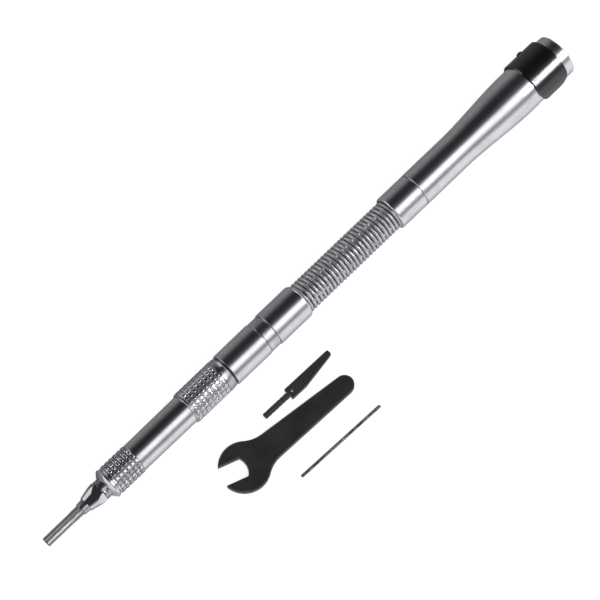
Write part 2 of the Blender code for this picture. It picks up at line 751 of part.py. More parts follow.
def make_handle(handle):
    """The rear ferrule, the flared handle and the bush that lines its socket."""
    pocket = SPRING_SEAT + SEAM
    web_end = pocket + FERRULE_WEB
    ferrule = [
        (0, SPRING_BORE),
        (pocket, SPRING_BORE),
        (pocket, WEB_BORE),
        (web_end, WEB_BORE),
        (web_end, TENON_BORE),
        (REAR_FERRULE_LENGTH, TENON_BORE),
        (REAR_FERRULE_LENGTH, REAR_FERRULE_RADIUS - FIT),
        (REAR_FERRULE_LENGTH - FIT, REAR_FERRULE_RADIUS),
        (REAR_FERRULE_CHAMFER, REAR_FERRULE_RADIUS),
        (0, REAR_FERRULE_RADIUS - REAR_FERRULE_CHAMFER),
    ]
    piece("rear_ferrule", lathe(ferrule, ROUND_SIDES), chrome, handle, X_REAR_FERRULE)

    shares = [step / FLARE_STEPS for step in range(FLARE_STEPS + 1)]
    flare = [(FLARE_START + FLARE_LENGTH * share, flare_radius(share)) for share in shares]
    turns = [math.pi / 2 * step / MOUTH_FILLET_STEPS for step in range(MOUTH_FILLET_STEPS + 1)]
    round_start = HANDLE_LENGTH - MOUTH_FILLET
    core = CLIP_SEAT_RADIUS - MOUTH_FILLET
    fillet = [
        (round_start + MOUTH_FILLET * math.sin(turn), core + MOUTH_FILLET * math.cos(turn))
        for turn in turns
    ]
    seat = HANDLE_LENGTH - CLIP_SEAT_LENGTH
    socket = HANDLE_LENGTH - SOCKET_DEPTH - SEAM
    outline = [
        (-HANDLE_TENON, MID_BORE),
        (FIT, MID_BORE),
        (FIT, GRIP_BORE),
        (socket, GRIP_BORE),
        (socket, BUSH_OUTER + FIT),
        (HANDLE_LENGTH, BUSH_OUTER + FIT),
        *reversed(fillet),
        (seat, CLIP_SEAT_RADIUS),
        (seat, HANDLE_RADIUS),
        *reversed(flare),
        (FIT, HANDLE_NECK_RADIUS),
        (0, HANDLE_NECK_RADIUS - FIT),
        (0, TENON_RADIUS),
        (-HANDLE_TENON, TENON_RADIUS),
    ]
    shell = piece("handle_shell", lathe(outline, ROUND_SIDES), chrome, handle, X_HANDLE)
    tube = ring(0, SOCKET_DEPTH - FIT, SOCKET_RADIUS, BUSH_OUTER)
    bush = piece("socket_bush", lathe(tube, ROUND_SIDES), brass, handle, X_SOCKET)
    reach = LOCK_PIN_RADIUS + FIT
    bore = [(0, 0), (CLIP_OUTER + 1, 0), (CLIP_OUTER + 1, reach), (0, reach)]
    station = X_CLIP + LOCK_PIN_STATION
    shape(shell, cutter(upright(bore, PEG_SIDES, station - X_HANDLE, LOCK_PIN_DEG)))
    shape(bush, cutter(upright(bore, PEG_SIDES, station - X_SOCKET, LOCK_PIN_DEG)))


def make_rear_drive(handle, drive, cage):
    """The rear bearing, its lock ring, and the drive spindle with a slotted cup for the shaft's key tip."""
    bearing("rear_bearing", X_REAR_BEARING, handle, drive, cage)
    start = X_REAR_BEARING + BEARING_WIDTH + FIT
    tube = ring(0, LOCK_RING_WIDTH, RACE_OUTER - LOCK_RING_WALL, RACE_OUTER)
    piece("bearing_lock_ring", lathe(tube, INNER_SIDES), steel, handle, start)
    cup = CORE_RADIUS + FIT
    length = X_DRIVE_CUP - X_REAR_DRIVE
    end = length + DRIVE_CUP_LENGTH
    outline = [
        (0, cup),
        (CORE_PLUG + SEAM, cup),
        (CORE_PLUG + SEAM, 0),
        (end - DRIVE_BORE_DEPTH, 0),
        (end - DRIVE_BORE_DEPTH, DRIVE_BORE_RADIUS),
        (end, DRIVE_BORE_RADIUS),
        (end, DRIVE_CUP_RADIUS),
        (length, DRIVE_CUP_RADIUS),
        (length - DRIVE_CUP_RADIUS + JOURNAL_RADIUS, JOURNAL_RADIUS),
        (0, JOURNAL_RADIUS),
    ]
    body = piece("rear_drive", lathe(outline, INNER_SIDES), steel, drive, X_REAR_DRIVE)
    half = KEY_SLOT_WIDTH / 2
    reach = DRIVE_CUP_RADIUS + 1
    slot = box((end - KEY_SLOT_DEPTH, -reach, -half), (end + 1, reach, half))
    shape(body, cutter(slot))


def clip_sections():
    """Angle, front edge and rear edge of each section of the clip: full width, then a rounded tongue."""
    sweep = CLIP_BAND_END_DEG - CLIP_BAND_START_DEG
    count = round(sweep / CLIP_STEP_DEG)
    band = [(CLIP_BAND_START_DEG + sweep * index / count, 0.0, CLIP_WIDTH) for index in range(count + 1)]
    tongue = []
    for index in range(1, CLIP_TONGUE_STEPS + 1):
        turn = math.pi / 2 * index / CLIP_TONGUE_STEPS
        degrees = CLIP_BAND_END_DEG + CLIP_TONGUE_DEG * math.sin(turn)
        narrowed = 1 - math.cos(turn)
        tongue.append((degrees, CLIP_FRONT_CUT * narrowed, CLIP_WIDTH - CLIP_REAR_CUT * narrowed))
    return band + tongue


def make_clip(handle, lock_pin):
    """The C-shaped spring clip round the mouth, and the pin that it holds in."""
    bm = bmesh.new()
    loops = []
    for degrees, front, rear in clip_sections():
        angle = math.radians(degrees)
        outward = Vector((0, -math.sin(angle), math.cos(angle)))
        corners = [(front, CLIP_INNER), (rear, CLIP_INNER), (rear, CLIP_OUTER), (front, CLIP_OUTER)]
        loop = [bm.verts.new((Vector((x, 0, 0)) + outward * r) * MM) for x, r in corners]
        loops.append(loop)
    for before, after in zip(loops, loops[1:]):
        for side in range(4):
            following = (side + 1) % 4
            bm.faces.new((before[side], before[following], after[following], after[side]))
    bm.faces.new(loops[0])
    bm.faces.new(loops[-1])
    bmesh.ops.recalc_face_normals(bm, faces=bm.faces)
    clip = piece("spring_clip", bm, black_oxide, handle, X_CLIP)
    reach = LOCK_PIN_RADIUS + FIT
    bore = [(0, 0), (CLIP_OUTER + 1, 0), (CLIP_OUTER + 1, reach), (0, reach)]
    shape(clip, cutter(upright(bore, PEG_SIDES, LOCK_PIN_STATION, LOCK_PIN_DEG)))

    nose = SOCKET_RADIUS - LOCK_PIN_NOSE
    top = CLIP_OUTER + LOCK_PIN_HEAD
    stud = [
        (nose, 0),
        (nose, LOCK_PIN_RADIUS / 2),
        (nose + LOCK_PIN_RADIUS / 2, LOCK_PIN_RADIUS),
        (CLIP_OUTER, LOCK_PIN_RADIUS),
        (top - LOCK_PIN_CROWN, LOCK_PIN_CROWN_RADIUS),
        (top, LOCK_PIN_TOP_RADIUS),
        (top, 0),
    ]
    bm = upright(stud, PEG_SIDES, 0, LOCK_PIN_DEG)
    piece("lock_pin", bm, black_oxide, lock_pin, X_CLIP + LOCK_PIN_STATION)


def arc(centre, radius, start, end, steps):
    """Points on an arc, from one angle to another in degrees."""
    angles = [math.radians(start + (end - start) * step / steps) for step in range(steps + 1)]
    return [(centre[0] + radius * math.cos(a), centre[1] + radius * math.sin(a)) for a in angles]


def neck_fillet(side):
    """The hollow curve that joins the wrench's head to its handle, on the side of +Y or -Y."""
    rise = WRENCH_NECK_HALF + WRENCH_FILLET
    reach = WRENCH_HEAD_RADIUS + WRENCH_FILLET
    run = math.sqrt(reach * reach - rise * rise)
    x = rise * math.sin(WRENCH_LEAN) + run * math.cos(WRENCH_LEAN)
    y = rise * math.cos(WRENCH_LEAN) - run * math.sin(WRENCH_LEAN)
    joint = math.degrees(math.atan2(y, x))
    toward_edge = -90 - math.degrees(WRENCH_LEAN)
    curve = arc((x, y), WRENCH_FILLET, joint - 180, toward_edge, WRENCH_FILLET_STEPS)
    return [(px, side * py) for px, py in curve], joint


def wrench_outline():
    """The wrench seen from above, handle along +X, in order round its edge."""
    half_jaw = (NUT_ACROSS_FLATS + WRENCH_JAW_GAP) / 2
    jaw = 180 - WRENCH_JAW_SKEW_DEG
    open_half = math.degrees(math.asin(half_jaw / WRENCH_HEAD_RADIUS))
    upper, joint = neck_fillet(1)
    lower, _ = neck_fillet(-1)
    head = (0, 0)
    points = arc(head, WRENCH_HEAD_RADIUS, jaw - open_half, joint, WRENCH_HEAD_STEPS)[:-1]
    points += upper
    tangent = 90 - math.degrees(WRENCH_LEAN)
    points += arc((WRENCH_END, 0), WRENCH_END_HALF, tangent, -tangent, WRENCH_END_STEPS)
    points += reversed(lower)
    points += arc(head, WRENCH_HEAD_RADIUS, -joint, jaw + open_half - 360, WRENCH_HEAD_STEPS)[1:]
    along = Vector((math.cos(math.radians(jaw)), math.sin(math.radians(jaw))))
    across = Vector((-along.y, along.x))
    for step in range(WRENCH_JAW_STEPS + 1):
        share = 1 - 2 * step / WRENCH_JAW_STEPS
        depth = WRENCH_JAW_FLOOR - WRENCH_JAW_SAG * (1 - share * share)
        spot = along * depth + across * (half_jaw * share)
        points.append((spot.x, spot.y))
    return points


def make_wrench(carrier):
    """The open-end wrench, stamped from plate."""
    bm = prism(wrench_outline(), 0, WRENCH_THICKNESS, WRENCH_BEVEL)
    piece("wrench", bm, black_oxide, carrier)


def make_locking_pin(carrier):
    """The straight pin that holds the spindle while the nut is turned."""
    outline = [
        (0, 0),
        (0, PIN_RADIUS - PIN_CHAMFER),
        (PIN_CHAMFER, PIN_RADIUS),
        (PIN_LENGTH - PIN_CHAMFER, PIN_RADIUS),
        (PIN_LENGTH, PIN_RADIUS - PIN_CHAMFER),
        (PIN_LENGTH, 0),
    ]
    piece("locking_pin", lathe(outline, PEG_SIDES), steel, carrier)


def make_key(carrier):
    """The tapered key: a flat blade with an eye, on a round ribbed shank."""
    half = KEY_WIDTH / 2
    drop = KEY_WIDTH - KEY_TIP_WIDTH
    blade = [
        (0, -half),
        (KEY_PARALLEL, -half),
        (KEY_LENGTH - KEY_TIP_ROUND, drop - half - KEY_TIP_ROUND * drop / KEY_LENGTH),
        (KEY_LENGTH, drop - half + KEY_TIP_ROUND),
        (KEY_LENGTH, half - KEY_TIP_ROUND),
        (KEY_LENGTH - KEY_TIP_ROUND, half),
        (0, half),
    ]
    thick = KEY_THICKNESS / 2
    body = piece("tapered_key", prism(blade, -thick, thick), black_oxide, carrier)
    pitch = KEY_SHANK_LENGTH / KEY_RIBS
    outline = [(KEY_HOLE_BACK / 2, 0), (KEY_HOLE_BACK / 2, KEY_SHANK_RADIUS - KEY_RIB_DEPTH)]
    for rib in range(KEY_RIBS):
        start = -rib * pitch
        groove = pitch * (1 - KEY_RIB_SHARE)
        outline.append((start - groove / 2, KEY_SHANK_RADIUS - KEY_RIB_DEPTH))
        outline.append((start - groove, KEY_SHANK_RADIUS))
        outline.append((start - pitch, KEY_SHANK_RADIUS))
    outline.append((-KEY_SHANK_LENGTH - KEY_RIB_DEPTH, KEY_SHANK_RADIUS - 2 * KEY_RIB_DEPTH))
    outline.append((-KEY_SHANK_LENGTH - KEY_RIB_DEPTH, 0))
    shape(body, cutter(lathe(outline, PEG_SIDES)), "UNION")
    eye = [(-KEY_WIDTH, 0), (KEY_WIDTH, 0), (KEY_WIDTH, KEY_HOLE_RADIUS), (-KEY_WIDTH, KEY_HOLE_RADIUS)]
    shape(body, cutter(upright(eye, PEG_SIDES, KEY_HOLE_BACK, 0)))


def lie_tilt():
    """The small angle at which the tool lies on its front knurl and its clip."""
    knurl = X_BARREL + FRONT_KNURL_RIM + FRONT_KNURL_PITCH / 2
    return math.asin((CLIP_OUTER - KNURL_PEAK) / (X_CLIP - knurl)), knurl


def rest_on_origin(whole):
    """Moves everything so that the set stands on z = 0, centred over the origin."""
    bpy.context.view_layer.update()
    solids = [thing for thing in bpy.data.objects if thing.type == "MESH"]
    corners = [thing.matrix_world @ vert.co for thing in solids for vert in thing.data.vertices]
    low = Vector([min(corner[axis] for corner in corners) for axis in range(3)])
    high = Vector([max(corner[axis] for corner in corners) for axis in range(3)])
    whole.location = Vector((-(low.x + high.x) / 2, -(low.y + high.y) / 2, -low.z))


def build():
    clear_scene()
    whole = empty("handpiece_set")
    tilt, knurl = lie_tilt()
    tip_height = KNURL_PEAK * math.cos(tilt) - knurl * math.sin(tilt)
    roll = math.radians(LIE_ROLL_DEG)
    handle = empty("tool_axis", whole, (0, 0, tip_height), (roll, -tilt, 0))
    grip = empty("neck_bend_pivot", handle, (X_PIVOT, 0, 0))
    spindle = empty("spindle_pivot", grip, (X_NECK - X_PIVOT, 0, 0))
    nut = empty("nut_pivot", spindle, (X_NUT - X_NECK, 0, 0))
    nose_cage = empty("nose_cage_pivot", grip, (X_NOSE_BEARING - X_PIVOT, 0, 0))
    mid_cage = empty("mid_cage_pivot", grip, (X_MID_BEARING - X_PIVOT, 0, 0))
    blank = empty("blank_slide", spindle, (-X_NECK, 0, 0))
    drive = empty("rear_drive_pivot", handle, (X_REAR_DRIVE, 0, 0))
    rear_cage = empty("rear_cage_pivot", handle, (X_REAR_BEARING, 0, 0))
    lock_pin = empty("lock_pin_slide", handle, (X_CLIP + LOCK_PIN_STATION, 0, 0))

    make_chuck(spindle, nut, blank)
    make_front_spindle(spindle)
    make_grip(grip)
    make_grip_insides(grip, spindle, nose_cage, mid_cage)
    make_neck(grip, spindle)
    make_handle(handle)
    make_rear_drive(handle, drive, rear_cage)
    make_clip(handle, lock_pin)

    turn = math.radians(WRENCH_TURN_DEG)
    make_wrench(empty("wrench_place", whole, (*WRENCH_PLACE, 0), (0, 0, turn)))
    turn = math.radians(PIN_TURN_DEG)
    make_locking_pin(empty("pin_place", whole, (*PIN_PLACE, PIN_RADIUS), (0, 0, turn)))
    turn = math.radians(KEY_TURN_DEG)
    shank_end = Vector((KEY_SHANK_LENGTH * math.cos(turn), KEY_SHANK_LENGTH * math.sin(turn)))
    place = Vector(KEY_PLACE) + shank_end
    make_key(empty("key_place", whole, (*place, KEY_SHANK_RADIUS), (0, 0, turn)))
    rest_on_origin(whole)


build()
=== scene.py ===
"""Looks of a slim chrome handpiece for a flexible shaft, with its wrench, locking pin and tapered key.

The tool's pieces are shaped lying along X from the tip of the blank, at stations in millimetres, and are
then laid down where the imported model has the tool. Angles round the tool start at the side that faces the
camera, a quarter turn from the clip's stud, and grow towards -Y.
"""

import json
import math

import bmesh
import bpy
from mathutils import Matrix, Vector


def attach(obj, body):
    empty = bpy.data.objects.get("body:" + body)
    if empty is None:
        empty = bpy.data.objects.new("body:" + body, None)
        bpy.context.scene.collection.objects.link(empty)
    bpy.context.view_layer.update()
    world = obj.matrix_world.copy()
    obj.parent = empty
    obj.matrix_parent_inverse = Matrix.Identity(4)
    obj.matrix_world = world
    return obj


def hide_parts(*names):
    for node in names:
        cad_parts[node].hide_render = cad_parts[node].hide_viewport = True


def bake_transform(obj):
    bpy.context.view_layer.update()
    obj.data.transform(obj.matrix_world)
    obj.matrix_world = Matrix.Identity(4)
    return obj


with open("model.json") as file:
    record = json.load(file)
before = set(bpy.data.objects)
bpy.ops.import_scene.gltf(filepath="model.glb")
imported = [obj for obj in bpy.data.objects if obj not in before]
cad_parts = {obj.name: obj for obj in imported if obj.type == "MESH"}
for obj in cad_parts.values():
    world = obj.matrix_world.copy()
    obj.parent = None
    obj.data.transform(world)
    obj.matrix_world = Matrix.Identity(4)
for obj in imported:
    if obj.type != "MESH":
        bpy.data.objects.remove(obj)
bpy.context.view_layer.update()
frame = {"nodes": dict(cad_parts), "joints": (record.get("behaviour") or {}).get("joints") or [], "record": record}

MM = 0.001

# Sides of a round piece: a wide one, a slim one and a small one or a hole
ROUND = 96
FINE = 48
SMALL = 32

# Where the tool lies
record = frame["record"]
joints = {joint["name"]: joint for joint in frame["joints"]}
mounts = {mount["name"]: mount for mount in record["mounts"]}
TIP = Vector(mounts["blank_tip"]["pos_m"])
ALONG = -Vector(mounts["blank_tip"]["axis"])
SIDE = Vector(joints["lock_pin_lift"]["axis"])
UP = ALONG.cross(SIDE)
LIE = Matrix((ALONG, SIDE, UP)).transposed()
TOOL = Matrix.Translation(TIP) @ LIE.to_4x4()

# Stations from the tip of the blank
COLLET = 12.6
NUT = 14.7
COLLET_STEP = 16.5
STUB = 16.9
NUT_REAR = 19.7
NECK = 19.9
CAP = 21.6
BARREL = 23.6
SLEEVE = 51.9
SLEEVE_REAR = 66.6
MID = 67.2
MID_REAR = 79.7
COLLAR = 79.9
COLLAR_REAR = 83.3
FERRULE = 83.5
SPRING_FRONT = 95.6
SPRING_REAR = 131.0
SPIGOT = 137.6
CUP_REAR = 140.7
HANDLE = 140.9
SOCKET = 175.1
CLIP_SEAT = 184.9
CLIP = 185.1
CLIP_WIDTH = 10.6
STUD = CLIP + 5.8
END = 199.1

# Turn and radius of the hole for the stud, through the clip, the handle and the bush
STUD_TURN = -90.0
STUD_HOLE = 1.1

# Each pad of a knurl takes five of the ring's six columns, and the groove beside it the sixth
COLUMNS = 6


# ---------------------------------------------------------------------------------------------------
# Workshop
# ---------------------------------------------------------------------------------------------------


def settle():
    """Fixes the place, turn and size of what is selected in its mesh."""
    bpy.ops.object.transform_apply(location=True, rotation=True, scale=True)


def about(axis, degrees):
    """A turn about one of the axes."""
    return Matrix.Rotation(math.radians(degrees), 4, axis)


def bench(piece, name):
    """Names a new piece and opens it for shaping with all of it selected."""
    piece.name = name
    piece.data.name = name
    settle()
    bpy.ops.object.mode_set(mode="EDIT")
    bpy.context.tool_settings.mesh_select_mode = (True, False, False)
    bpy.ops.mesh.select_all(action="SELECT")
    return piece


def ring(name, station, radius, sides=ROUND, turn=0.0):
    """A ring of points across the tool, turned by an angle."""
    bpy.ops.object.select_all(action="DESELECT")
    bpy.ops.mesh.primitive_circle_add(vertices=sides, radius=radius * MM)
    made = bpy.context.object
    spot = Matrix.Translation((station * MM, 0, 0))
    made.matrix_world = about("X", turn) @ spot @ about("Y", 90)
    return bench(made, name)


def draw_out(outline):
    """Extrudes the selected ring from point to point of a half outline of (station, radius)."""
    for (x0, r0), (x1, r1) in zip(outline, outline[1:]):
        step = ((x1 - x0) * MM, 0, 0)
        bpy.ops.mesh.extrude_region_move(TRANSFORM_OT_translate={"value": step})
        if r1 != r0:
            bpy.ops.transform.resize(value=(1, r1 / r0, r1 / r0), center_override=(x1 * MM, 0, 0))


def tidy_shell():
    """Joins the points that meet and turns every face outwards."""
    bpy.ops.mesh.select_all(action="SELECT")
    bpy.ops.mesh.remove_doubles(threshold=0.002 * MM)
    bpy.ops.mesh.normals_make_consistent(inside=False)
    bpy.ops.mesh.select_all(action="DESELECT")


def turned_tube(name, outline, sides=ROUND, turn=0.0):
    """A hollow turned piece: its half outline runs all the way round the wall."""
    made = ring(name, *outline[0], sides, turn)
    draw_out([*outline, outline[0]])
    tidy_shell()
    return made


def turned_bar(name, outline, sides=ROUND, turn=0.0):
    """A turned piece whose two ends are closed by flat faces."""
    made = ring(name, *outline[0], sides, turn)
    bpy.ops.mesh.edge_face_add()
    bpy.ops.mesh.select_all(action="SELECT")
    draw_out(outline)
    tidy_shell()
    return made


def pick_faces(piece, wanted):
    """Selects the faces whose middle and normal pass a test."""
    bpy.context.tool_settings.mesh_select_mode = (False, False, True)
    bpy.ops.mesh.select_all(action="DESELECT")
    shell = bmesh.from_edit_mesh(piece.data)
    for face in shell.faces:
        face.select_set(wanted(face.calc_center_median() / MM, face.normal))
    bmesh.update_edit_mesh(piece.data)


def cover(piece, finish):
    """Gives the selected faces one of the piece's finishes, by its number."""
    piece.active_material_index = finish
    bpy.ops.object.material_slot_assign()


def end_shaping(piece):
    """Leaves edit mode, if the piece is still open."""
    if piece.mode == "EDIT":
        bpy.ops.object.mode_set(mode="OBJECT")


def off_bench(piece, smooth=35.0):
    """Ends the shaping and sets how the shell is shaded: small rounded edges don't bend the wide faces."""
    end_shaping(piece)
    hold(piece)
    bpy.ops.object.shade_smooth_by_angle(angle=math.radians(smooth))
    even = piece.modifiers.new("even_shading", "WEIGHTED_NORMAL")
    even.keep_sharp = True
    bpy.ops.object.modifier_apply(modifier=even.name)


def hold(piece):
    """Makes a piece the only one that is selected, and the active one."""
    bpy.ops.object.select_all(action="DESELECT")
    piece.select_set(True)
    bpy.context.view_layer.objects.active = piece


def break_edges(piece, width=0.06, segments=2, angle=30.0):
    """Rounds every edge sharper than an angle."""
    end_shaping(piece)
    hold(piece)
    rounding = piece.modifiers.new("broken_edges", "BEVEL")
    rounding.width = width * MM
    rounding.segments = segments
    rounding.limit_method = "ANGLE"
    rounding.angle_limit = math.radians(angle)
    rounding.use_clamp_overlap = True
    bpy.ops.object.modifier_apply(modifier=rounding.name)


def cut_with(piece, tool, keep="DIFFERENCE"):
    """Cuts, keeps or joins another shape, and takes it away."""
    end_shaping(piece)
    hold(piece)
    cut = piece.modifiers.new("cut", "BOOLEAN")
    cut.operation = keep
    cut.solver = "EXACT"
    cut.object = tool
    bpy.ops.object.modifier_apply(modifier=cut.name)
    bpy.data.objects.remove(tool)


def drill(piece, station, degrees, radius, low, high):
    """A round hole into the tool's side, from one height above the axis to another."""
    end_shaping(piece)
    bpy.ops.object.select_all(action="DESELECT")
    bpy.ops.mesh.primitive_cylinder_add(vertices=SMALL, radius=radius * MM, depth=(high - low) * MM)
    bit = bpy.context.object
    spot = Matrix.Translation((station * MM, 0, (low + high) / 2 * MM))
    bit.matrix_world = about("X", degrees) @ spot
    settle()
    cut_with(piece, bit)


def saw(piece, low, high, degrees=0.0):
    """A straight slot between two corners, turned about the tool."""
    end_shaping(piece)
    bpy.ops.object.select_all(action="DESELECT")
    bpy.ops.mesh.primitive_cube_add(size=1.0)
    blade = bpy.context.object
    low, high = Vector(low) * MM, Vector(high) * MM
    size = Matrix.Diagonal((*(high - low), 1.0))
    spot = Matrix.Translation((low + high) / 2)
    blade.matrix_world = about("X", degrees) @ spot @ size
    settle()
    cut_with(piece, blade)


def give(piece, *finishes):
    """Gives a piece its finishes; the first one covers it."""
    piece.data.materials.clear()
    for finish in finishes:
        piece.data.materials.append(finish)


def set_down(piece, place):
    """Moves a finished piece from the bench to its place."""
    hold(piece)
    piece.matrix_world = place
    settle()


def lay(piece, body, slot, *nodes, place=TOOL):
    """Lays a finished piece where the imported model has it, and ties it to its body."""
    set_down(piece, place)
    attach(piece, body)
    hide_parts(*nodes)
    return piece


# ---------------------------------------------------------------------------------------------------
# Finishes
# ---------------------------------------------------------------------------------------------------


def add(tree, kind, **settings):
    """A node with its settings."""
    made = tree.nodes.new(kind)
    for name, value in settings.items():
        setattr(made, name, value)
    return made


def set_in(node, **values):
    """Sets a node's inputs by their names."""
    for name, value in values.items():
        node.inputs[name.replace("_", " ")].default_value = value


def noise(tree, place, **values):
    """A noise pattern that is read at a place."""
    made = add(tree, "ShaderNodeTexNoise")
    set_in(made, **values)
    tree.links.new(place, made.inputs["Vector"])
    return made


def sum_up(tree, how, first, second, clamp=False):
    """One step of arithmetic on two values or sockets."""
    made = add(tree, "ShaderNodeMath", operation=how, use_clamp=clamp)
    for index, value in enumerate((first, second)):
        if isinstance(value, (int, float)):
            made.inputs[index].default_value = value
        else:
            tree.links.new(value, made.inputs[index])
    return made.outputs[0]


def spread(tree, value, low, high, start, end):
    """Maps a value from one range to another, smoothly."""
    made = add(tree, "ShaderNodeMapRange", interpolation_type="SMOOTHSTEP")
    tree.links.new(value, made.inputs["Value"])
    set_in(made, From_Min=low, From_Max=high, To_Min=start, To_Max=end)
    return made.outputs["Result"]


def blend_colors(tree, share, first, second):
    """Goes from one colour to another."""
    made = add(tree, "ShaderNodeMix", data_type="RGBA")
    tree.links.new(share, made.inputs["Factor"])
    for name, value in (("A", first), ("B", second)):
        socket = next(s for s in made.inputs if s.name == name and s.type == "RGBA")
        if isinstance(value, tuple):
            socket.default_value = (*value, 1.0)
        else:
            tree.links.new(value, socket)
    return next(s for s in made.outputs if s.type == "RGBA")


def start_group(name, inputs, outputs):
    """A shared effect with named inputs and outputs."""
    group = bpy.data.node_groups.new(name, "ShaderNodeTree")
    for label, kind, value in inputs:
        socket = group.interface.new_socket(name=label, in_out="INPUT", socket_type=kind)
        if value is not None:
            socket.default_value = value
    for label in outputs:
        group.interface.new_socket(name=label, in_out="OUTPUT", socket_type="NodeSocketFloat")
    return group, add(group, "NodeGroupInput"), add(group, "NodeGroupOutput")


def make_turning_marks():
    """Fine rings that a lathe leaves."""
    inputs = [("Place", "NodeSocketVector", None), ("Fineness", "NodeSocketFloat", 8.0)]
    group, given, result = start_group("turning_marks", inputs, ["Height"])
    squeeze = add(group, "ShaderNodeVectorMath", operation="MULTIPLY")
    squeeze.inputs[1].default_value = (1000.0, 25.0, 25.0)
    group.links.new(given.outputs["Place"], squeeze.inputs[0])
    grain = noise(group, squeeze.outputs[0], Detail=3.0, Roughness=0.6)
    group.links.new(given.outputs["Fineness"], grain.inputs["Scale"])
    group.links.new(grain.outputs["Fac"], result.inputs["Height"])
    return group


def make_painted_reflection_bands():
    """Painted reflection: light and dark bands along a rod, set by the angle round the tool from the side that
    faces the camera, as many round it as the fineness says.
    """
    inputs = [("Place", "NodeSocketVector", None), ("Fineness", "NodeSocketFloat", 8.0)]
    group, given, result = start_group("painted_reflection_bands", inputs, ["Height"])
    split = add(group, "ShaderNodeSeparateXYZ")
    group.links.new(given.outputs["Place"], split.inputs[0])
    towards = sum_up(group, "MULTIPLY", split.outputs["Y"], -1.0)
    angle = sum_up(group, "ARCTAN2", towards, split.outputs["Z"])
    wave = sum_up(group, "COSINE", sum_up(group, "MULTIPLY", angle, given.outputs["Fineness"]), 0.0)
    group.links.new(spread(group, wave, -1.0, 1.0, 0.15, 0.85), result.inputs["Height"])
    return group


def make_scratches():
    """Hairline scratches that run in two directions, in places only."""
    inputs = [("Place", "NodeSocketVector", None), ("Amount", "NodeSocketFloat", 0.5)]
    group, given, result = start_group("hairline_scratches", inputs, ["Mask"])
    found = []
    for turn, stretch in ((0.5, (60.0, 2600.0, 900.0)), (-0.8, (2200.0, 70.0, 1100.0))):
        lean = add(group, "ShaderNodeMapping")
        lean.inputs["Rotation"].default_value = (0.3, turn, turn)
        lean.inputs["Scale"].default_value = stretch
        group.links.new(given.outputs["Place"], lean.inputs["Vector"])
        line = noise(group, lean.outputs[0], Scale=1.0, Detail=1.0, Distortion=0.3)
        away = sum_up(group, "ABSOLUTE", sum_up(group, "SUBTRACT", line.outputs["Fac"], 0.5), 0.0)
        found.append(spread(group, away, 0.0, 0.012, 1.0, 0.0))
    both = sum_up(group, "MAXIMUM", found[0], found[1])
    where = noise(group, given.outputs["Place"], Scale=120.0, Detail=2.0)
    patch = spread(group, where.outputs["Fac"], 0.45, 0.7, 0.0, 1.0)
    mask = sum_up(group, "MULTIPLY", sum_up(group, "MULTIPLY", both, patch), given.outputs["Amount"])
    group.links.new(mask, result.inputs["Mask"])
    return group


def make_handling_film():
    """The thin uneven film that hands and oil leave on metal."""
    inputs = [("Place", "NodeSocketVector", None), ("Patch size mm", "NodeSocketFloat", 5.0)]
    group, given, result = start_group("handling_film", inputs, ["Mask"])
    per_metre = sum_up(group, "DIVIDE", 1000.0, given.outputs["Patch size mm"])
    cloud = noise(group, given.outputs["Place"], Detail=5.0, Roughness=0.62, Distortion=0.4)
    group.links.new(per_metre, cloud.inputs["Scale"])
    group.links.new(spread(group, cloud.outputs["Fac"], 0.38, 0.68, 0.0, 1.0), result.inputs["Mask"])
    return group


def make_edge_wear_and_sheen():
    """Where rubbing has gone through a finish, and on the wrench's rims a painted sheen: along the marked edges,
    unevenly.
    """
    inputs = [
        ("Place", "NodeSocketVector", None),
        ("Edge", "NodeSocketFloat", 0.0),
        ("Wear", "NodeSocketFloat", 0.5),
    ]
    group, given, result = start_group("edge_wear_and_sheen", inputs, ["Mask"])
    rub = noise(group, given.outputs["Place"], Scale=900.0, Detail=4.0, Roughness=0.7)
    uneven = spread(group, rub.outputs["Fac"], 0.3, 0.65, 0.4, 1.0)
    mask = sum_up(group, "MULTIPLY", given.outputs["Edge"], uneven)
    mask = sum_up(group, "MULTIPLY", mask, given.outputs["Wear"], clamp=True)
    group.links.new(mask, result.inputs["Mask"])
    return group


turning_marks = make_turning_marks()
painted_reflection_bands = make_painted_reflection_bands()
hairline_scratches = make_scratches()
handling_film = make_handling_film()
edge_wear_and_sheen = make_edge_wear_and_sheen()


def new_finish(name, **plain):
    """An empty material with its plain shader values, and the place on the tool that its effects read."""
    made = bpy.data.materials.new(name)
    made.use_nodes = True
    tree = made.node_tree
    shader = tree.nodes["Principled BSDF"]
    set_in(shader, **plain)
    where = add(tree, "ShaderNodeTexCoord")
    on_tool = add(tree, "ShaderNodeMapping", vector_type="TEXTURE")
    on_tool.inputs["Location"].default_value = TIP
    on_tool.inputs["Rotation"].default_value = LIE.to_euler()
    tree.links.new(where.outputs["Object"], on_tool.inputs["Vector"])
    return made, tree, shader, on_tool.outputs[0]


def effect(tree, group, place, **values):
    """A shared effect placed in a material."""
    made = add(tree, "ShaderNodeGroup", node_tree=group)
    tree.links.new(place, made.inputs["Place"])
    for name, value in values.items():
        socket = made.inputs[name.replace("_", " ")]
        if isinstance(value, (int, float)):
            socket.default_value = value
        else:
            tree.links.new(value, socket)
    return made.outputs[0]


def raise_from(tree, shader, height, strength, distance):
    """Bump from a height in millimetres."""
    bump = add(tree, "ShaderNodeBump")
    set_in(bump, Strength=strength, Distance=distance * MM)
    tree.links.new(height, bump.inputs["Height"])
    tree.links.new(bump.outputs[0], shader.inputs["Normal"])


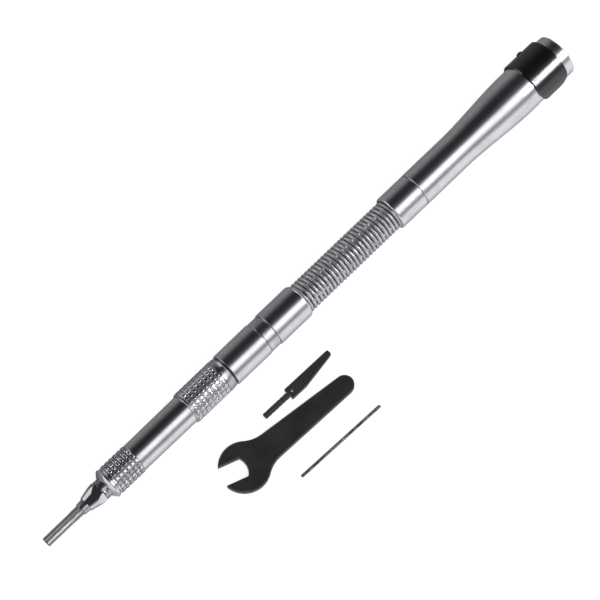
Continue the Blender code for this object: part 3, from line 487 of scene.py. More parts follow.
def metal(name, color, dulled, rough, lines=8.0, depth=0.001, scratches=0.5, patch=5.0, streaks=0.0,
          marks=turning_marks):
    """A machined metal: tool marks, hairline scratches and a film that dulls it in patches. On the rod the marks
    are painted reflection bands instead.
    """
    made, tree, shader, place = new_finish(name, Metallic=1.0)
    cut = effect(tree, marks, place, Fineness=lines)
    hairs = effect(tree, hairline_scratches, place, Amount=scratches)
    film = effect(tree, handling_film, place, Patch_size_mm=patch)
    tint = blend_colors(tree, film, color, dulled)
    tint = blend_colors(tree, sum_up(tree, "MULTIPLY", hairs, 0.5), tint, dulled)
    # Streaks of the dulled colour along the marks; where the marks are painted reflection bands, this paints them
    # in
    tint = blend_colors(tree, spread(tree, cut, 0.42, 0.62, 0.0, streaks), tint, dulled)
    tree.links.new(tint, shader.inputs["Base Color"])
    dull = spread(tree, film, 0.0, 1.0, rough, rough * 1.6)
    dull = sum_up(tree, "ADD", dull, sum_up(tree, "MULTIPLY", hairs, 0.25), clamp=True)
    tree.links.new(dull, shader.inputs["Roughness"])
    height = sum_up(tree, "SUBTRACT", cut, sum_up(tree, "MULTIPLY", hairs, 0.6))
    raise_from(tree, shader, height, 1.0, depth)
    return made


def black_finish(name, color, wear_and_sheen_color, rough, gloss, wear, grain=4.0):
    """Blackened steel: a dark skin with a faint mottle, fine scratches and marked edges in a lighter colour, which
    is worn metal and, on the wrench, mostly a painted sheen.
    """
    made, tree, shader, place = new_finish(name, Metallic=0.0, IOR=gloss)
    edge = add(tree, "ShaderNodeAttribute", attribute_name="edge")
    wear_and_sheen = effect(tree, edge_wear_and_sheen, place, Edge=edge.outputs["Fac"], Wear=wear)
    hairs = effect(tree, hairline_scratches, place, Amount=0.6)
    film = effect(tree, handling_film, place, Patch_size_mm=7.0)
    lighter = tuple(channel * 1.25 for channel in color)
    skin = blend_colors(tree, film, color, lighter)
    skin = blend_colors(tree, sum_up(tree, "MULTIPLY", hairs, 0.4), skin, wear_and_sheen_color)
    skin = blend_colors(tree, wear_and_sheen, skin, wear_and_sheen_color)
    tree.links.new(skin, shader.inputs["Base Color"])
    dull = spread(tree, film, 0.0, 1.0, rough, rough * 1.35)
    dull = sum_up(tree, "ADD", dull, sum_up(tree, "MULTIPLY", hairs, 0.1))
    tree.links.new(dull, shader.inputs["Roughness"])
    pits = noise(tree, place, Scale=grain * 1000.0, Detail=4.0, Roughness=0.6)
    raise_from(tree, shader, pits.outputs["Fac"], 0.5, 0.02)
    return made


# Colour, dulled colour, roughness, fineness and depth of the tool marks, scratches, size of a dull patch,
# streaks and kind of marks
chrome = metal("polished_chrome", (0.86, 0.86, 0.88), (0.76, 0.76, 0.79), 0.045, 7.0, 0.0005, 0.25)
sleeve_chrome = metal("sleeve_chrome", (0.78, 0.78, 0.81), (0.64, 0.64, 0.68), 0.13, 9.0, 0.001)
satin_chrome = metal("satin_chrome", (0.62, 0.62, 0.65), (0.5, 0.5, 0.53), 0.16, 11.0, 0.002, streaks=0.3)
# Dark chrome for the faces down in the barrel's groove: painted shade
groove_painted_shade = metal("groove_painted_shade", (0.2, 0.2, 0.21), (0.1, 0.1, 0.105), 0.22, 14.0, 0.003, 0.2, 1.5)
# Darker chromes on the floors of the knurls: painted shade in their recesses
point_floor_painted_shade = metal("point_floor_painted_shade", (0.42, 0.42, 0.44), (0.26, 0.26, 0.27), 0.2, 14.0, 0.003, 0.2, 1.5)
pad_floor_painted_shade = metal("pad_floor_painted_shade", (0.5, 0.5, 0.52), (0.34, 0.34, 0.36), 0.34, 14.0, 0.003, 0.2, 1.5)
spring_wire = metal("plated_spring_wire", (0.72, 0.72, 0.74), (0.6, 0.6, 0.62), 0.34, 3.0, 0.001, 0.2, 2.0)
turned_steel = metal("turned_steel", (0.62, 0.62, 0.64), (0.46, 0.46, 0.48), 0.16, 10.0, 0.0015, patch=3.0)
ground_steel = metal("ground_steel", (0.24, 0.24, 0.245), (0.17, 0.17, 0.17), 0.5, 12.0, 0.002, 0.4, 2.0)
shaded_steel = metal("shaded_steel", (0.13, 0.13, 0.135), (0.09, 0.09, 0.095), 0.6, 6.0, 0.001, patch=2.0)
bearing_steel = metal("bearing_steel", (0.66, 0.66, 0.68), (0.5, 0.5, 0.52), 0.12, 12.0, patch=2.0)
machined_brass = metal("machined_brass", (0.66, 0.47, 0.2), (0.45, 0.31, 0.13), 0.2, 8.0, 0.002, patch=2.5)
# The rod's steel has painted reflection: its dulled colour and streaks make light and dark bands along it, eight
# round it
rod_steel_painted_bands = metal(
    "rod_steel_painted_bands", (0.92, 0.92, 0.93), (0.16, 0.16, 0.165), 0.55, 8.0, 0.0, 0.05, 90.0, 0.85, painted_reflection_bands,
)
# Colour, colour of the marked edges (worn metal, and on the wrench a painted sheen), roughness, gloss, wear, grain
clip_black = black_finish("clip_black", (0.004, 0.0045, 0.0055), (0.1, 0.1, 0.1), 0.1, 1.8, 0.35)
# The wrench's lighter edge colour is mostly a painted sheen on its rims that turn away from the camera, over a
# little wear
wrench_black = black_finish("wrench_black", (0.019, 0.0215, 0.021), (0.17, 0.178, 0.175), 0.36, 1.4, 0.9, 3.0)
key_black = black_finish("key_black", (0.021, 0.022, 0.022), (0.07, 0.072, 0.072), 0.36, 1.4, 0.6, 5.0)


# ---------------------------------------------------------------------------------------------------
# Chuck and nose
# ---------------------------------------------------------------------------------------------------


def make_blank_shank():
    """The plain rod in the chuck, with its small step."""
    tip, shank, step, end = 1.44, 1.5, 9.7, 21.2
    outline = [(0.01, tip - 0.1), (0.1, tip), (step - 0.04, tip), (step + 0.04, shank), (end, shank)]
    rod = turned_bar("rod_in_chuck", outline, FINE)
    off_bench(rod, 25)
    give(rod, rod_steel_painted_bands)
    lay(rod, "blank", "bright", "blank_shank")


def make_collet():
    """The split collet, whose nose stands out of the nut."""
    bore, tail, head, nose, end = 1.56, 1.78, 1.92, 1.78, 21.6
    jaws, half_slit, slit_floor, slit_top = 3, 0.15, 0.75, 3.4
    outline = [
        (COLLET, bore), (end, bore), (end, tail), (STUB, tail), (COLLET_STEP, head), (NUT, head),
        (COLLET + 0.2, nose), (COLLET, nose - 0.05),
    ]
    collet = turned_tube("split_collet", outline, FINE)
    for index in range(jaws):
        low, high = (COLLET - 1, -half_slit, slit_floor), (NECK, half_slit, slit_top)
        saw(collet, low, high, 360 / jaws * index)
    off_bench(collet, 25)
    give(collet, turned_steel)
    lay(collet, "spindle", "hardened", "collet")


def make_collet_nut():
    """The cone-shaped nut, with six flats milled on its cone."""
    lip, thread, nose, wide = 2.02, 2.25, 2.25, 3.34
    flats, across_flats, flats_turn, blunt = 6, 5.6, -14.0, 0.2
    bar_middle, bar_length = 17.0, 8.0
    outline = [
        (NUT, lip), (COLLET_STEP, lip), (COLLET_STEP + 0.1, thread), (NUT_REAR, thread),
        (NUT_REAR, wide - blunt), (NUT_REAR - blunt, wide), (NUT, nose),
    ]
    nut = turned_tube("chuck_nut", outline)
    bpy.ops.object.mode_set(mode="OBJECT")
    bpy.ops.object.select_all(action="DESELECT")
    corner = across_flats / 2 / math.cos(math.pi / flats)
    bpy.ops.mesh.primitive_cylinder_add(vertices=flats, radius=corner * MM, depth=bar_length * MM)
    bar = bpy.context.object
    bar.matrix_world = Matrix.Translation((bar_middle * MM, 0, 0)) @ about("X", flats_turn) @ about("Y", 90)
    settle()
    cut_with(nut, bar, "INTERSECT")
    break_edges(nut, 0.05, 2, 24)
    off_bench(nut, 9)
    give(nut, chrome)
    lay(nut, "nut", "chrome", "collet_nut")


def make_spindle():
    """The driven spindle: threaded stub, neck with cross holes and the long journal."""
    bore, thread, neck, journal, waist, core = 1.83, 2.15, 3.0, 2.5, 1.9, 1.6
    neck_end, race_end, waist_end, end = 23.0, 25.2, 78.4, 83.5
    hole, hole_turns = 0.6, (20, 110, 200, 290)
    outline = [
        (22.0, bore), (STUB, bore), (STUB, thread), (NECK, thread), (NECK, neck), (neck_end, neck),
        (neck_end, journal), (race_end, journal), (race_end, waist), (waist_end, waist),
        (waist_end + 0.1, journal), (end, journal), (end, core), (80.1, core),
    ]
    spindle = turned_bar("nose_spindle", outline)
    for degrees in hole_turns:
        drill(spindle, (NECK + CAP) / 2, degrees, hole, thread - 0.05, neck + 1)
    break_edges(spindle, 0.05, 2, 40)
    off_bench(spindle, 30)
    give(spindle, turned_steel)
    lay(spindle, "spindle", "steel", "front_spindle")


def make_nose_cap():
    """The chamfered flange that closes the barrel."""
    bore, spigot, seat, rim, front = 3.1, 3.9, 4.35, 4.6, 3.5
    rim_start, rim_end, seat_end, spigot_end = 22.6, 23.15, 23.4, 25.1
    outline = [
        (CAP, bore), (spigot_end, bore), (spigot_end, spigot), (seat_end, spigot), (seat_end, seat),
        (rim_end, seat), (rim_end, rim), (rim_start, rim), (CAP, front),
    ]
    cap = turned_tube("nose_flange", outline)
    break_edges(cap, 0.07, 3, 30)
    off_bench(cap)
    give(cap, chrome)
    lay(cap, "grip", "chrome", "nose_cap")


# ---------------------------------------------------------------------------------------------------
# Grip
# ---------------------------------------------------------------------------------------------------


def pad_rows(first, pitch, rows, land, groove):
    """Points of the half outline at both edges of each row of pads, from the last row to the first."""
    middles = [first + pitch * (row + 0.5) for row in reversed(range(rows))]
    return [(middle + side * land / 2, groove) for middle in middles for side in (1, -1)]


def raise_pads(piece, first, pitch, rows, land, groove, pads, turn, steps, walls=0):
    """Raises the pads of a knurl out of its floor, each drawn in and up in steps that round it. The floor takes
    the piece's second finish, a darker chrome that is painted shade in the recess, and the walls that the first
    steps raise can keep it."""
    column = math.tau / (pads * COLUMNS)

    def on_floor(middle):
        at_floor = abs(math.hypot(middle.y, middle.z) - groove) < 0.05
        return at_floor and first < middle.x < first + pitch * rows

    def on_pad(middle):
        in_row = abs((middle.x - first) / pitch % 1 - 0.5) < land / pitch / 2
        angle = math.atan2(-middle.y, middle.z) - math.radians(turn)
        return on_floor(middle) and in_row and math.floor(angle / column) % COLUMNS != 0

    # The knurl's floor takes the piece's second finish: painted shade
    pick_faces(piece, lambda middle, normal: on_floor(middle))
    cover(piece, 1)
    pick_faces(piece, lambda middle, normal: on_pad(middle))
    for index, (inward, upward) in enumerate(steps):
        if index == walls:
            cover(piece, 0)
        bpy.ops.mesh.inset(thickness=inward * MM, depth=upward * MM)


def make_front_barrel():
    """The long slim barrel, with six rows of rounded points at its front."""
    first, pitch, rows, land, groove, points, turn = BARREL + 0.4, 1.42, 6, 1.16, 4.33, 20, -1.0
    bore, thread, body, rear, thread_end = 4.0, 4.3, 4.38, 4.5, 60.6
    knurl_end = first + pitch * rows
    end = SLEEVE - 0.1
    outline = [
        (thread_end, bore), (thread_end, thread), (end, thread), (end, rear - 0.05), (end - 0.05, rear),
        (knurl_end + 0.1, body), (knurl_end, groove), *pad_rows(first, pitch, rows, land, groove),
        (first, groove), (first - 0.1, body), (BARREL + 0.06, body), (BARREL, body - 0.06), (BARREL, bore),
    ]
    barrel = turned_tube("knurled_barrel", outline, points * COLUMNS, turn)
    give(barrel, chrome, point_floor_painted_shade)
    rounding = [(0.12, 0.17), (0.14, 0.06), (0.1, 0.01)]
    raise_pads(barrel, first, pitch, rows, land, groove, points, turn, rounding, walls=1)
    off_bench(barrel, 50)
    lay(barrel, "grip", "chrome", "front_barrel")


def make_grip_sleeve():
    """The sleeve with eight rows of square pads and a smooth band behind them."""
    first, pitch, rows, land, groove, pads, turn = SLEEVE + 0.5, 1.48, 8, 1.26, 4.79, 24, -1.1
    bore, front, band, rear, end = 4.4, 4.93, 5.05, 4.86, SLEEVE_REAR
    knurl_end = first + pitch * rows
    outline = [
        (end, bore), (end, rear - 0.06), (end - 0.06, rear), (knurl_end + 0.4, band), (knurl_end + 0.1, band),
        (knurl_end, groove), *pad_rows(first, pitch, rows, land, groove), (first, groove),
        (first - 0.12, front + 0.02), (SLEEVE + 0.1, front), (SLEEVE, front - 0.1), (SLEEVE, bore),
    ]
    sleeve = turned_tube("knurled_sleeve", outline, pads * COLUMNS, turn)
    give(sleeve, sleeve_chrome, pad_floor_painted_shade, satin_chrome)
    rounding = [(0.07, 0.15), (0.06, 0.06), (0.05, 0.02)]
    raise_pads(sleeve, first, pitch, rows, land, groove, pads, turn, rounding)
    pick_faces(sleeve, lambda middle, normal: middle.x > knurl_end + 0.2 and normal.y**2 + normal.z**2 > 0.5)
    cover(sleeve, 2)
    off_bench(sleeve, 40)
    lay(sleeve, "grip", "chrome", "grip_sleeve")


def make_mid_barrel():
    """The smooth barrel behind the groove."""
    bore, seat, thread, floor, front, rear = 2.9, 4.4, 4.3, 4.62, 5.12, 5.17
    thread_start, seat_start, floor_start, end = 60.8, 73.8, SLEEVE_REAR + 0.2, MID_REAR
    outline = [
        (thread_start, bore), (seat_start, bore), (seat_start, seat), (end, seat), (end, rear - 0.08),
        (end - 0.08, rear), (MID + 0.1, front), (MID, front - 0.1), (MID, floor), (floor_start, floor),
        (floor_start, thread), (thread_start, thread),
    ]
    barrel = turned_tube("smooth_barrel", outline)
    break_edges(barrel, 0.05, 2)
    bpy.ops.object.mode_set(mode="EDIT")
    # The faces down in the groove take the dark chrome: painted shade
    in_groove = floor + 0.18
    pick_faces(barrel, lambda middle, normal: middle.x < MID + 0.04 and middle.yz.length < in_groove)
    give(barrel, chrome, groove_painted_shade)
    cover(barrel, 1)
    off_bench(barrel)
    lay(barrel, "grip", "chrome", "mid_barrel")


def make_lock_collar():
    """The short collar between two fine seams."""
    bore, tube, collar, start, end = 2.9, 4.3, 5.0, 75.2, 88.2
    front, rear = COLLAR, COLLAR_REAR
    outline = [
        (start, bore), (end, bore), (end, tube), (rear, tube), (rear, collar - 0.05), (rear - 0.06, collar),
        (front + 0.06, collar), (front, collar - 0.05), (front, tube), (start, tube),
    ]
    piece = turned_tube("seam_collar", outline)
    break_edges(piece, 0.04, 2)
    off_bench(piece)
    give(piece, sleeve_chrome)
    lay(piece, "grip", "chrome", "lock_collar")


def make_front_ferrule():
    """The cup that holds the front end of the springs."""
    tube, inner_seat, outer_seat, rim, cup_radius = 4.4, 3.5, 4.78, 4.94, 5.26
    inner_start, outer_start, end, chamfer = 90.8, 92.8, SPRING_FRONT, 0.65
    outline = [
        (FERRULE, tube), (inner_start, tube), (inner_start, inner_seat), (outer_start, inner_seat),
        (outer_start, outer_seat), (end, outer_seat), (end, rim), (end - chamfer, cup_radius),
        (FERRULE + 0.1, cup_radius), (FERRULE, cup_radius - 0.1),
    ]
    cup = turned_tube("front_spring_cup", outline)
    break_edges(cup, 0.05, 2)
    off_bench(cup)
    give(cup, chrome)
    lay(cup, "grip", "chrome", "front_ferrule")


# ---------------------------------------------------------------------------------------------------
# Spring neck
# ---------------------------------------------------------------------------------------------------


def wind(name, start, length, radius, wire, pitch, hand, section, steps):
    """A round wire wound about the tool's axis, with closed ends."""
    bpy.ops.object.select_all(action="DESELECT")
    bpy.ops.mesh.primitive_circle_add(vertices=section, radius=wire * MM)
    made = bpy.context.object
    spot = Matrix.Translation(((start + wire) * MM, 0, (radius - wire) * MM))
    made.matrix_world = spot @ about("X", 90)
    bench(made, name)
    bpy.ops.object.mode_set(mode="OBJECT")
    travel = length - 2 * wire
    turns = travel / pitch
    rounds = math.ceil(turns)
    coil = made.modifiers.new("winding", "SCREW")
    coil.axis = "X"
    coil.angle = hand * math.tau * turns / rounds
    coil.screw_offset = travel / rounds * MM
    coil.iterations = rounds
    coil.steps = steps
    coil.render_steps = steps
    coil.use_merge_vertices = False
    bpy.ops.object.modifier_apply(modifier=coil.name)
    bpy.ops.object.mode_set(mode="EDIT")
    bpy.ops.mesh.select_all(action="SELECT")
    bpy.ops.mesh.fill_holes(sides=0)
    tidy_shell()
    off_bench(made, 50)
    return made


def across_neck(piece, node):
    """Lays a piece of the neck, which runs from the grip to the handle, and hides the imported one; the piece is
    tied to no body.
    """
    set_down(piece, TOOL)
    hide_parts(node)
    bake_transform(piece)


def make_springs():
    """The visible coil spring, the one inside it wound the other way, and the core that drives."""
    outer = wind(
        "neck_spring", start=SPRING_FRONT - 2.6, length=40.6, radius=4.68, wire=0.5, pitch=1.28, hand=1,
        section=14, steps=44,
    )
    give(outer, spring_wire)
    across_neck(outer, "outer_spring")
    inner = wind(
        "inner_neck_spring", start=SPRING_FRONT - 4.2, length=43.8, radius=3.4, wire=0.36, pitch=3.0, hand=-1,
        section=10, steps=32,
    )
    give(inner, shaded_steel)
    across_neck(inner, "inner_spring")
    start, step, rings, radius = 80.3, 0.55, 111, 1.5
    core = turned_bar("drive_core", [(start + step * index, radius) for index in range(rings)], SMALL)
    off_bench(core)
    give(core, turned_steel)
    across_neck(core, "flexible_core")


# ---------------------------------------------------------------------------------------------------
# Handle
# ---------------------------------------------------------------------------------------------------


def make_rear_ferrule():
    """The cup that holds the rear end of the springs."""
    tube, inner_seat, outer_seat, cup_radius = 4.4, 3.5, 4.78, 5.34
    start, outer_end, inner_end, end = SPRING_REAR, SPRING_REAR + 2.8, SPRING_REAR + 4.8, CUP_REAR
    outline = [
        (start, outer_seat), (outer_end, outer_seat), (outer_end, inner_seat), (inner_end, inner_seat),
        (inner_end, tube), (end, tube), (end, cup_radius - 0.1), (end - 0.1, cup_radius),
        (start + 0.3, cup_radius), (start, cup_radius - 0.3),
    ]
    cup = turned_tube("rear_spring_cup", outline)
    break_edges(cup, 0.05, 2)
    off_bench(cup)
    give(cup, chrome)
    lay(cup, "handle", "chrome", "rear_ferrule")


def make_handle():
    """The handle, which flares out of its slim neck to the clip's seat and a rounded mouth."""
    slim, wide, bore, drive_bore, bearing_bore, spigot, seat = 5.38, 6.7, 5.7, 4.0, 2.9, 4.3, 6.6
    flare_start, flare_length, flare_steps = HANDLE + 15.7, 25.4, 24
    rounding, rounding_steps, face, bush_start = 0.5, 6, HANDLE + 0.1, SOCKET - 0.2
    flare = []
    for step in range(flare_steps + 1):
        share = step / flare_steps
        eased = share * share * (3 - 2 * share)
        flare.append((flare_start + flare_length * share, slim + (wide - slim) * eased))
    mouth = []
    for step in range(rounding_steps + 1):
        turn = math.radians(90 * step / rounding_steps)
        inward, across = rounding * math.sin(turn), rounding * math.cos(turn)
        mouth.append((END - rounding + inward, seat - rounding + across))
    outline = [
        (SPIGOT, bearing_bore), (face, bearing_bore), (face, drive_bore), (bush_start, drive_bore),
        (bush_start, bore), (END, bore), *reversed(mouth), (CLIP_SEAT, seat), (CLIP_SEAT, wide - 0.06),
        (CLIP_SEAT - 0.06, wide), *reversed(flare), (face, slim), (HANDLE, slim - 0.1), (HANDLE, spigot),
        (SPIGOT, spigot),
    ]
    shell = turned_tube("flared_handle", outline)
    drill(shell, STUD, STUD_TURN, STUD_HOLE, 0.0, wide + 1.8)
    off_bench(shell, 32)
    give(shell, chrome)
    lay(shell, "handle", "chrome", "handle_shell")


def make_socket():
    """The brass bush that lines the mouth, and the slotted drive cup that shows at its bottom."""
    bore, lead_in, outside, end = 4.8, 5.1, 5.6, END - 0.1
    outline = [
        (SOCKET, bore), (end - 0.3, bore), (end, lead_in), (end, outside - 0.1), (end - 0.1, outside),
        (SOCKET, outside),
    ]
    bush = turned_tube("brass_bush", outline)
    drill(bush, STUD, STUD_TURN, STUD_HOLE, 0.0, 8.5)
    off_bench(bush)
    give(bush, machined_brass)
    lay(bush, "handle", "brass", "socket_bush")

    hollow, journal, cup = 1.6, 1.9, 3.0
    cup_start, end = SOCKET - 9.2, SOCKET - 0.2
    half_slot, slot_depth, hollow_depth = 0.6, 5.0, 7.0
    outline = [
        (HANDLE + 0.1, hollow), (SPIGOT, hollow), (SPIGOT, journal), (cup_start - 1.1, journal),
        (cup_start, cup), (end - 0.1, cup), (end, cup - 0.1), (end, hollow + 0.2), (end - 0.2, hollow),
        (end - hollow_depth, hollow),
    ]
    drive = turned_bar("slotted_drive", outline, FINE)
    saw(drive, (end - slot_depth, -4.0, -half_slot), (SOCKET + 1.0, 4.0, half_slot))
    off_bench(drive, 30)
    give(drive, turned_steel)
    lay(drive, "drive", "steel", "rear_drive")


def make_clip():
    """The black C-shaped spring band round the mouth, ending in a rounded tongue."""
    inner, thickness, first_turn, band_turn, tongue_turn = 6.7, 0.75, -210, 250, 37
    front_cut, rear_cut, tongue_steps = 3.2, 3.6, 16
    bpy.ops.object.select_all(action="DESELECT")
    bpy.ops.mesh.primitive_plane_add(size=1.0)
    band = bpy.context.object
    size = Matrix.Diagonal((CLIP_WIDTH * MM, thickness * MM, 1.0, 1.0))
    spot = Matrix.Translation(((CLIP + CLIP_WIDTH / 2) * MM, 0, (inner + thickness / 2) * MM))
    band.matrix_world = about("X", first_turn) @ spot @ about("X", 90) @ size
    bench(band, "mouth_clip")
    bpy.ops.mesh.spin(steps=84, angle=math.radians(-band_turn), center=(0, 0, 0), axis=(1, 0, 0))
    width, middle, turned = CLIP_WIDTH, CLIP + CLIP_WIDTH / 2, 0.0
    for step in range(1, tongue_steps + 1):
        around = math.radians(90 * step / tongue_steps)
        narrowed = 1 - math.cos(around)
        front = CLIP + front_cut * narrowed
        rear = CLIP + CLIP_WIDTH - rear_cut * narrowed
        share = (rear - front) / width
        bpy.ops.mesh.extrude_region_move()
        bpy.ops.transform.resize(value=(share, 1, 1), center_override=(middle * MM, 0, 0))
        bpy.ops.transform.translate(value=(((front + rear) / 2 - middle) * MM, 0, 0))
        further = tongue_turn * math.sin(around) - turned
        bpy.ops.transform.rotate(value=math.radians(-further), orient_axis="X", center_override=(0, 0, 0))
        width, middle, turned = rear - front, (front + rear) / 2, turned + further
    tidy_shell()
    drill(band, STUD, STUD_TURN, STUD_HOLE, 5.0, 9.0)
    break_edges(band, 0.09, 3, 40)
    off_bench(band, 30)
    mark_edges(band, lambda spot: 0.0)
    give(band, clip_black)
    lay(band, "handle", "black", "spring_clip")


def make_stud():
    """The stud of the lock pin, whose rounded head stands out of the clip."""
    nose, outer, radius = 4.5, 7.46, 1.0
    outline = [
        (nose, radius / 2), (nose + 0.5, radius), (outer, radius), (outer + 0.2, 0.9 * radius),
        (outer + 0.35, 0.62 * radius), (outer + 0.45, 0.3 * radius),
    ]
    stud = turned_bar("clip_stud", outline, SMALL)
    off_bench(stud, 30)
    mark_edges(stud, lambda spot: 0.0)
    give(stud, clip_black)
    spot = Matrix.Translation((STUD * MM, 0, 0)) @ about("X", STUD_TURN) @ about("Y", -90)
    lay(stud, "release_pin", "black", "lock_pin", place=TOOL @ spot)


# ---------------------------------------------------------------------------------------------------
# Loose pieces
# ---------------------------------------------------------------------------------------------------


def mark_edges(piece, share):
    """Marks how near each point is to a worn edge, for the black finish."""
    mark = piece.data.attributes.new("edge", "FLOAT", "POINT")
    for vert in piece.data.vertices:
        mark.data[vert.index].value = share(vert.co / MM)


def on_table(along, across, height, turn):
    """The place of a loose piece, from under the tip of the blank."""
    spot = Vector((TIP.x + along * MM, TIP.y + across * MM, height * MM))
    return Matrix.Translation(spot) @ about("Z", turn)


def arc(centre, radius, start, end, steps):
    """Points on an arc, from one angle to another in degrees."""
    angles = [math.radians(start + (end - start) * step / steps) for step in range(steps + 1)]
    return [(centre[0] + radius * math.cos(a), centre[1] + radius * math.sin(a)) for a in angles]


def drawn_plate(name, outline, low, high):
    """A plate whose outline is drawn point by point, filled and raised."""
    bpy.ops.object.select_all(action="DESELECT")
    bpy.ops.mesh.primitive_plane_add(size=MM, location=(outline[0][0] * MM, outline[0][1] * MM, low * MM))
    made = bench(bpy.context.object, name)
    bpy.ops.mesh.merge(type="CENTER")
    for (x0, y0), (x1, y1) in zip(outline, outline[1:]):
        step = ((x1 - x0) * MM, (y1 - y0) * MM, 0)
        bpy.ops.mesh.extrude_region_move(TRANSFORM_OT_translate={"value": step})
    bpy.ops.mesh.select_all(action="SELECT")
    bpy.ops.mesh.edge_face_add()
    rise = (0, 0, (high - low) * MM)
    bpy.ops.mesh.extrude_region_move(TRANSFORM_OT_translate={"value": rise})
    tidy_shell()
    return made


def wrench_outline():
    """The wrench seen from above, with its handle along +X."""
    half_jaw, jaw_turn, head = 2.85, 164.5, 7.2
    neck_half, end_half, end, fillet = 4.4, 2.7, 35.7, 9.0
    lean = math.asin((neck_half - end_half) / end)
    rise, reach = neck_half + fillet, head + fillet
    run = math.sqrt(reach**2 - rise**2)
    x = rise * math.sin(lean) + run * math.cos(lean)
    y = rise * math.cos(lean) - run * math.sin(lean)
    joint = math.degrees(math.atan2(y, x))
    tangent = 90 - math.degrees(lean)
    hollow = arc((x, y), fillet, joint - 180, tangent - 180, 14)
    opening = math.degrees(math.asin(half_jaw / head))
    points = arc((0, 0), head, jaw_turn - opening, joint, 16)[:-1]
    points += hollow
    points += arc((end, 0), end_half, tangent, -tangent, 28)
    points += [(px, -py) for px, py in reversed(hollow)]
    points += arc((0, 0), head, -joint, jaw_turn + opening - 360, 16)[1:]
    along = Vector((math.cos(math.radians(jaw_turn)), math.sin(math.radians(jaw_turn))))
    across = Vector((-along.y, along.x))
    floor, sag, steps = 0.2, 0.9, 10
    for step in range(steps + 1):
        share = 1 - 2 * step / steps
        spot = along * (floor - sag * (1 - share * share)) + across * (half_jaw * share)
        points.append((spot.x, spot.y))
    return points


def mark_rim_wear_and_sheen(piece, low, high, drop, band):
    """Marks the rims of a plate with a little wear all round and a far stronger painted sheen on the rims that
    turn towards +Y, the side that faces away from the camera.
    """
    for level in (low + drop, high - drop):
        bpy.ops.mesh.select_all(action="SELECT")
        bpy.ops.mesh.bisect(plane_co=(0, 0, level * MM), plane_no=(0, 0, 1))
    pick_faces(piece, lambda middle, normal: abs(normal.z) > 0.9 and not low < middle.z < high)
    bpy.ops.mesh.inset(thickness=band * MM, depth=0)
    piece.update_from_editmode()
    inner = {vert.index for vert in piece.data.vertices if vert.select}
    end_shaping(piece)
    mark = piece.data.attributes.new("edge", "FLOAT", "POINT")
    for vert in piece.data.vertices:
        plain = vert.index in inner or low + drop < vert.co.z / MM + 0.001 < high - drop + 0.002
        # A little wear on every rim, and a painted sheen that grows on the rims that turn towards +Y
        mark.data[vert.index].value = 0.0 if plain else max(0.1, 3.0 * vert.normal.y)


def make_wrench():
    """The open-end wrench, stamped from plate."""
    thickness, rim_drop, rim_band = 2.0, 0.3, 0.3
    wrench = drawn_plate("open_end_wrench", wrench_outline(), 0.0, thickness)
    break_edges(wrench, 0.17, 3, 60)
    bpy.ops.object.mode_set(mode="EDIT")
    mark_rim_wear_and_sheen(wrench, 0.0, thickness, rim_drop, rim_band)
    off_bench(wrench, 35)
    give(wrench, wrench_black)
    place = on_table(along=52.25, across=-21.85, height=0.0, turn=-4.5)
    lay(wrench, "spanner", "black", "wrench", place=place)
    wrench.visible_glossy = False


def make_locking_pin():
    """The straight pin that holds the spindle while the nut is turned."""
    length, radius, chamfer = 29.35, 0.45, 0.12
    end = radius - chamfer
    outline = [(0, end), (chamfer, radius), (length - chamfer, radius), (length, end)]
    pin = turned_bar("spindle_locking_pin", outline, SMALL)
    off_bench(pin, 25)
    give(pin, ground_steel)
    place = on_table(along=61.24, across=-34.47, height=radius, turn=-2.0)
    lay(pin, "spindle_pin", "hardened", "locking_pin", place=place)
    pin.visible_glossy = False


def make_key():
    """The tapered key: a flat blade with an eye, on a ribbed round shank."""
    half_width, half_thickness, straight, taper_end, length = 1.7, 0.85, 5.2, 16.05, 16.4
    blade = [
        (0, -half_width), (straight, -half_width), (taper_end, 0.062), (16.3, 0.19), (length, 0.45),
        (length, 1.35), (16.3, 1.6), (taper_end, half_width), (0, half_width),
    ]
    key = drawn_plate("tapered_chuck_key", blade, -half_thickness, half_thickness)
    break_edges(key, 0.1, 2, 40)
    shank, groove, rib, ribs, eye, eye_station = 9.0, 0.78, 0.88, 7, 0.4, 1.3
    pitch = shank / ribs
    outline = [(0.65, groove)]
    for index in range(ribs):
        start = -index * pitch
        outline += [(start - pitch * 0.22, groove), (start - pitch * 0.4, rib), (start - pitch * 0.92, rib)]
    outline += [(0.02 - shank, 0.84), (-0.1 - shank, 0.68)]
    stem = turned_bar("shank", outline, SMALL)
    bpy.ops.object.mode_set(mode="OBJECT")
    cut_with(key, stem, "UNION")
    bpy.ops.object.select_all(action="DESELECT")
    spot = (eye_station * MM, 0, 0)
    bpy.ops.mesh.primitive_cylinder_add(vertices=SMALL, radius=eye * MM, depth=4 * MM, location=spot)
    cut_with(key, bpy.context.object)
    off_bench(key, 30)
    mark_edges(key, lambda spot: 0.3)
    give(key, key_black)
    end_of_shank = on_table(along=66.3, across=-15.55, height=rib, turn=-1.0)
    lay(key, "key", "black", "tapered_key", place=end_of_shank @ Matrix.Translation((shank * MM, 0, 0)))
    key.visible_glossy = False


make_blank_shank()
make_collet()
make_collet_nut()
make_spindle()
make_nose_cap()
make_front_barrel()
make_grip_sleeve()
make_mid_barrel()
make_lock_collar()
make_front_ferrule()
make_springs()
make_rear_ferrule()
make_handle()
make_socket()
make_clip()
make_stud()
make_wrench()
make_locking_pin()
make_key()

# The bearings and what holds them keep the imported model's shapes
for name, node in frame["nodes"].items():
    if not node.hide_render:
        give(node, machined_brass if name.endswith("cage") else bearing_steel)


# ---------------------------------------------------------------------------------------------------
# Floor, light and camera
# ---------------------------------------------------------------------------------------------------


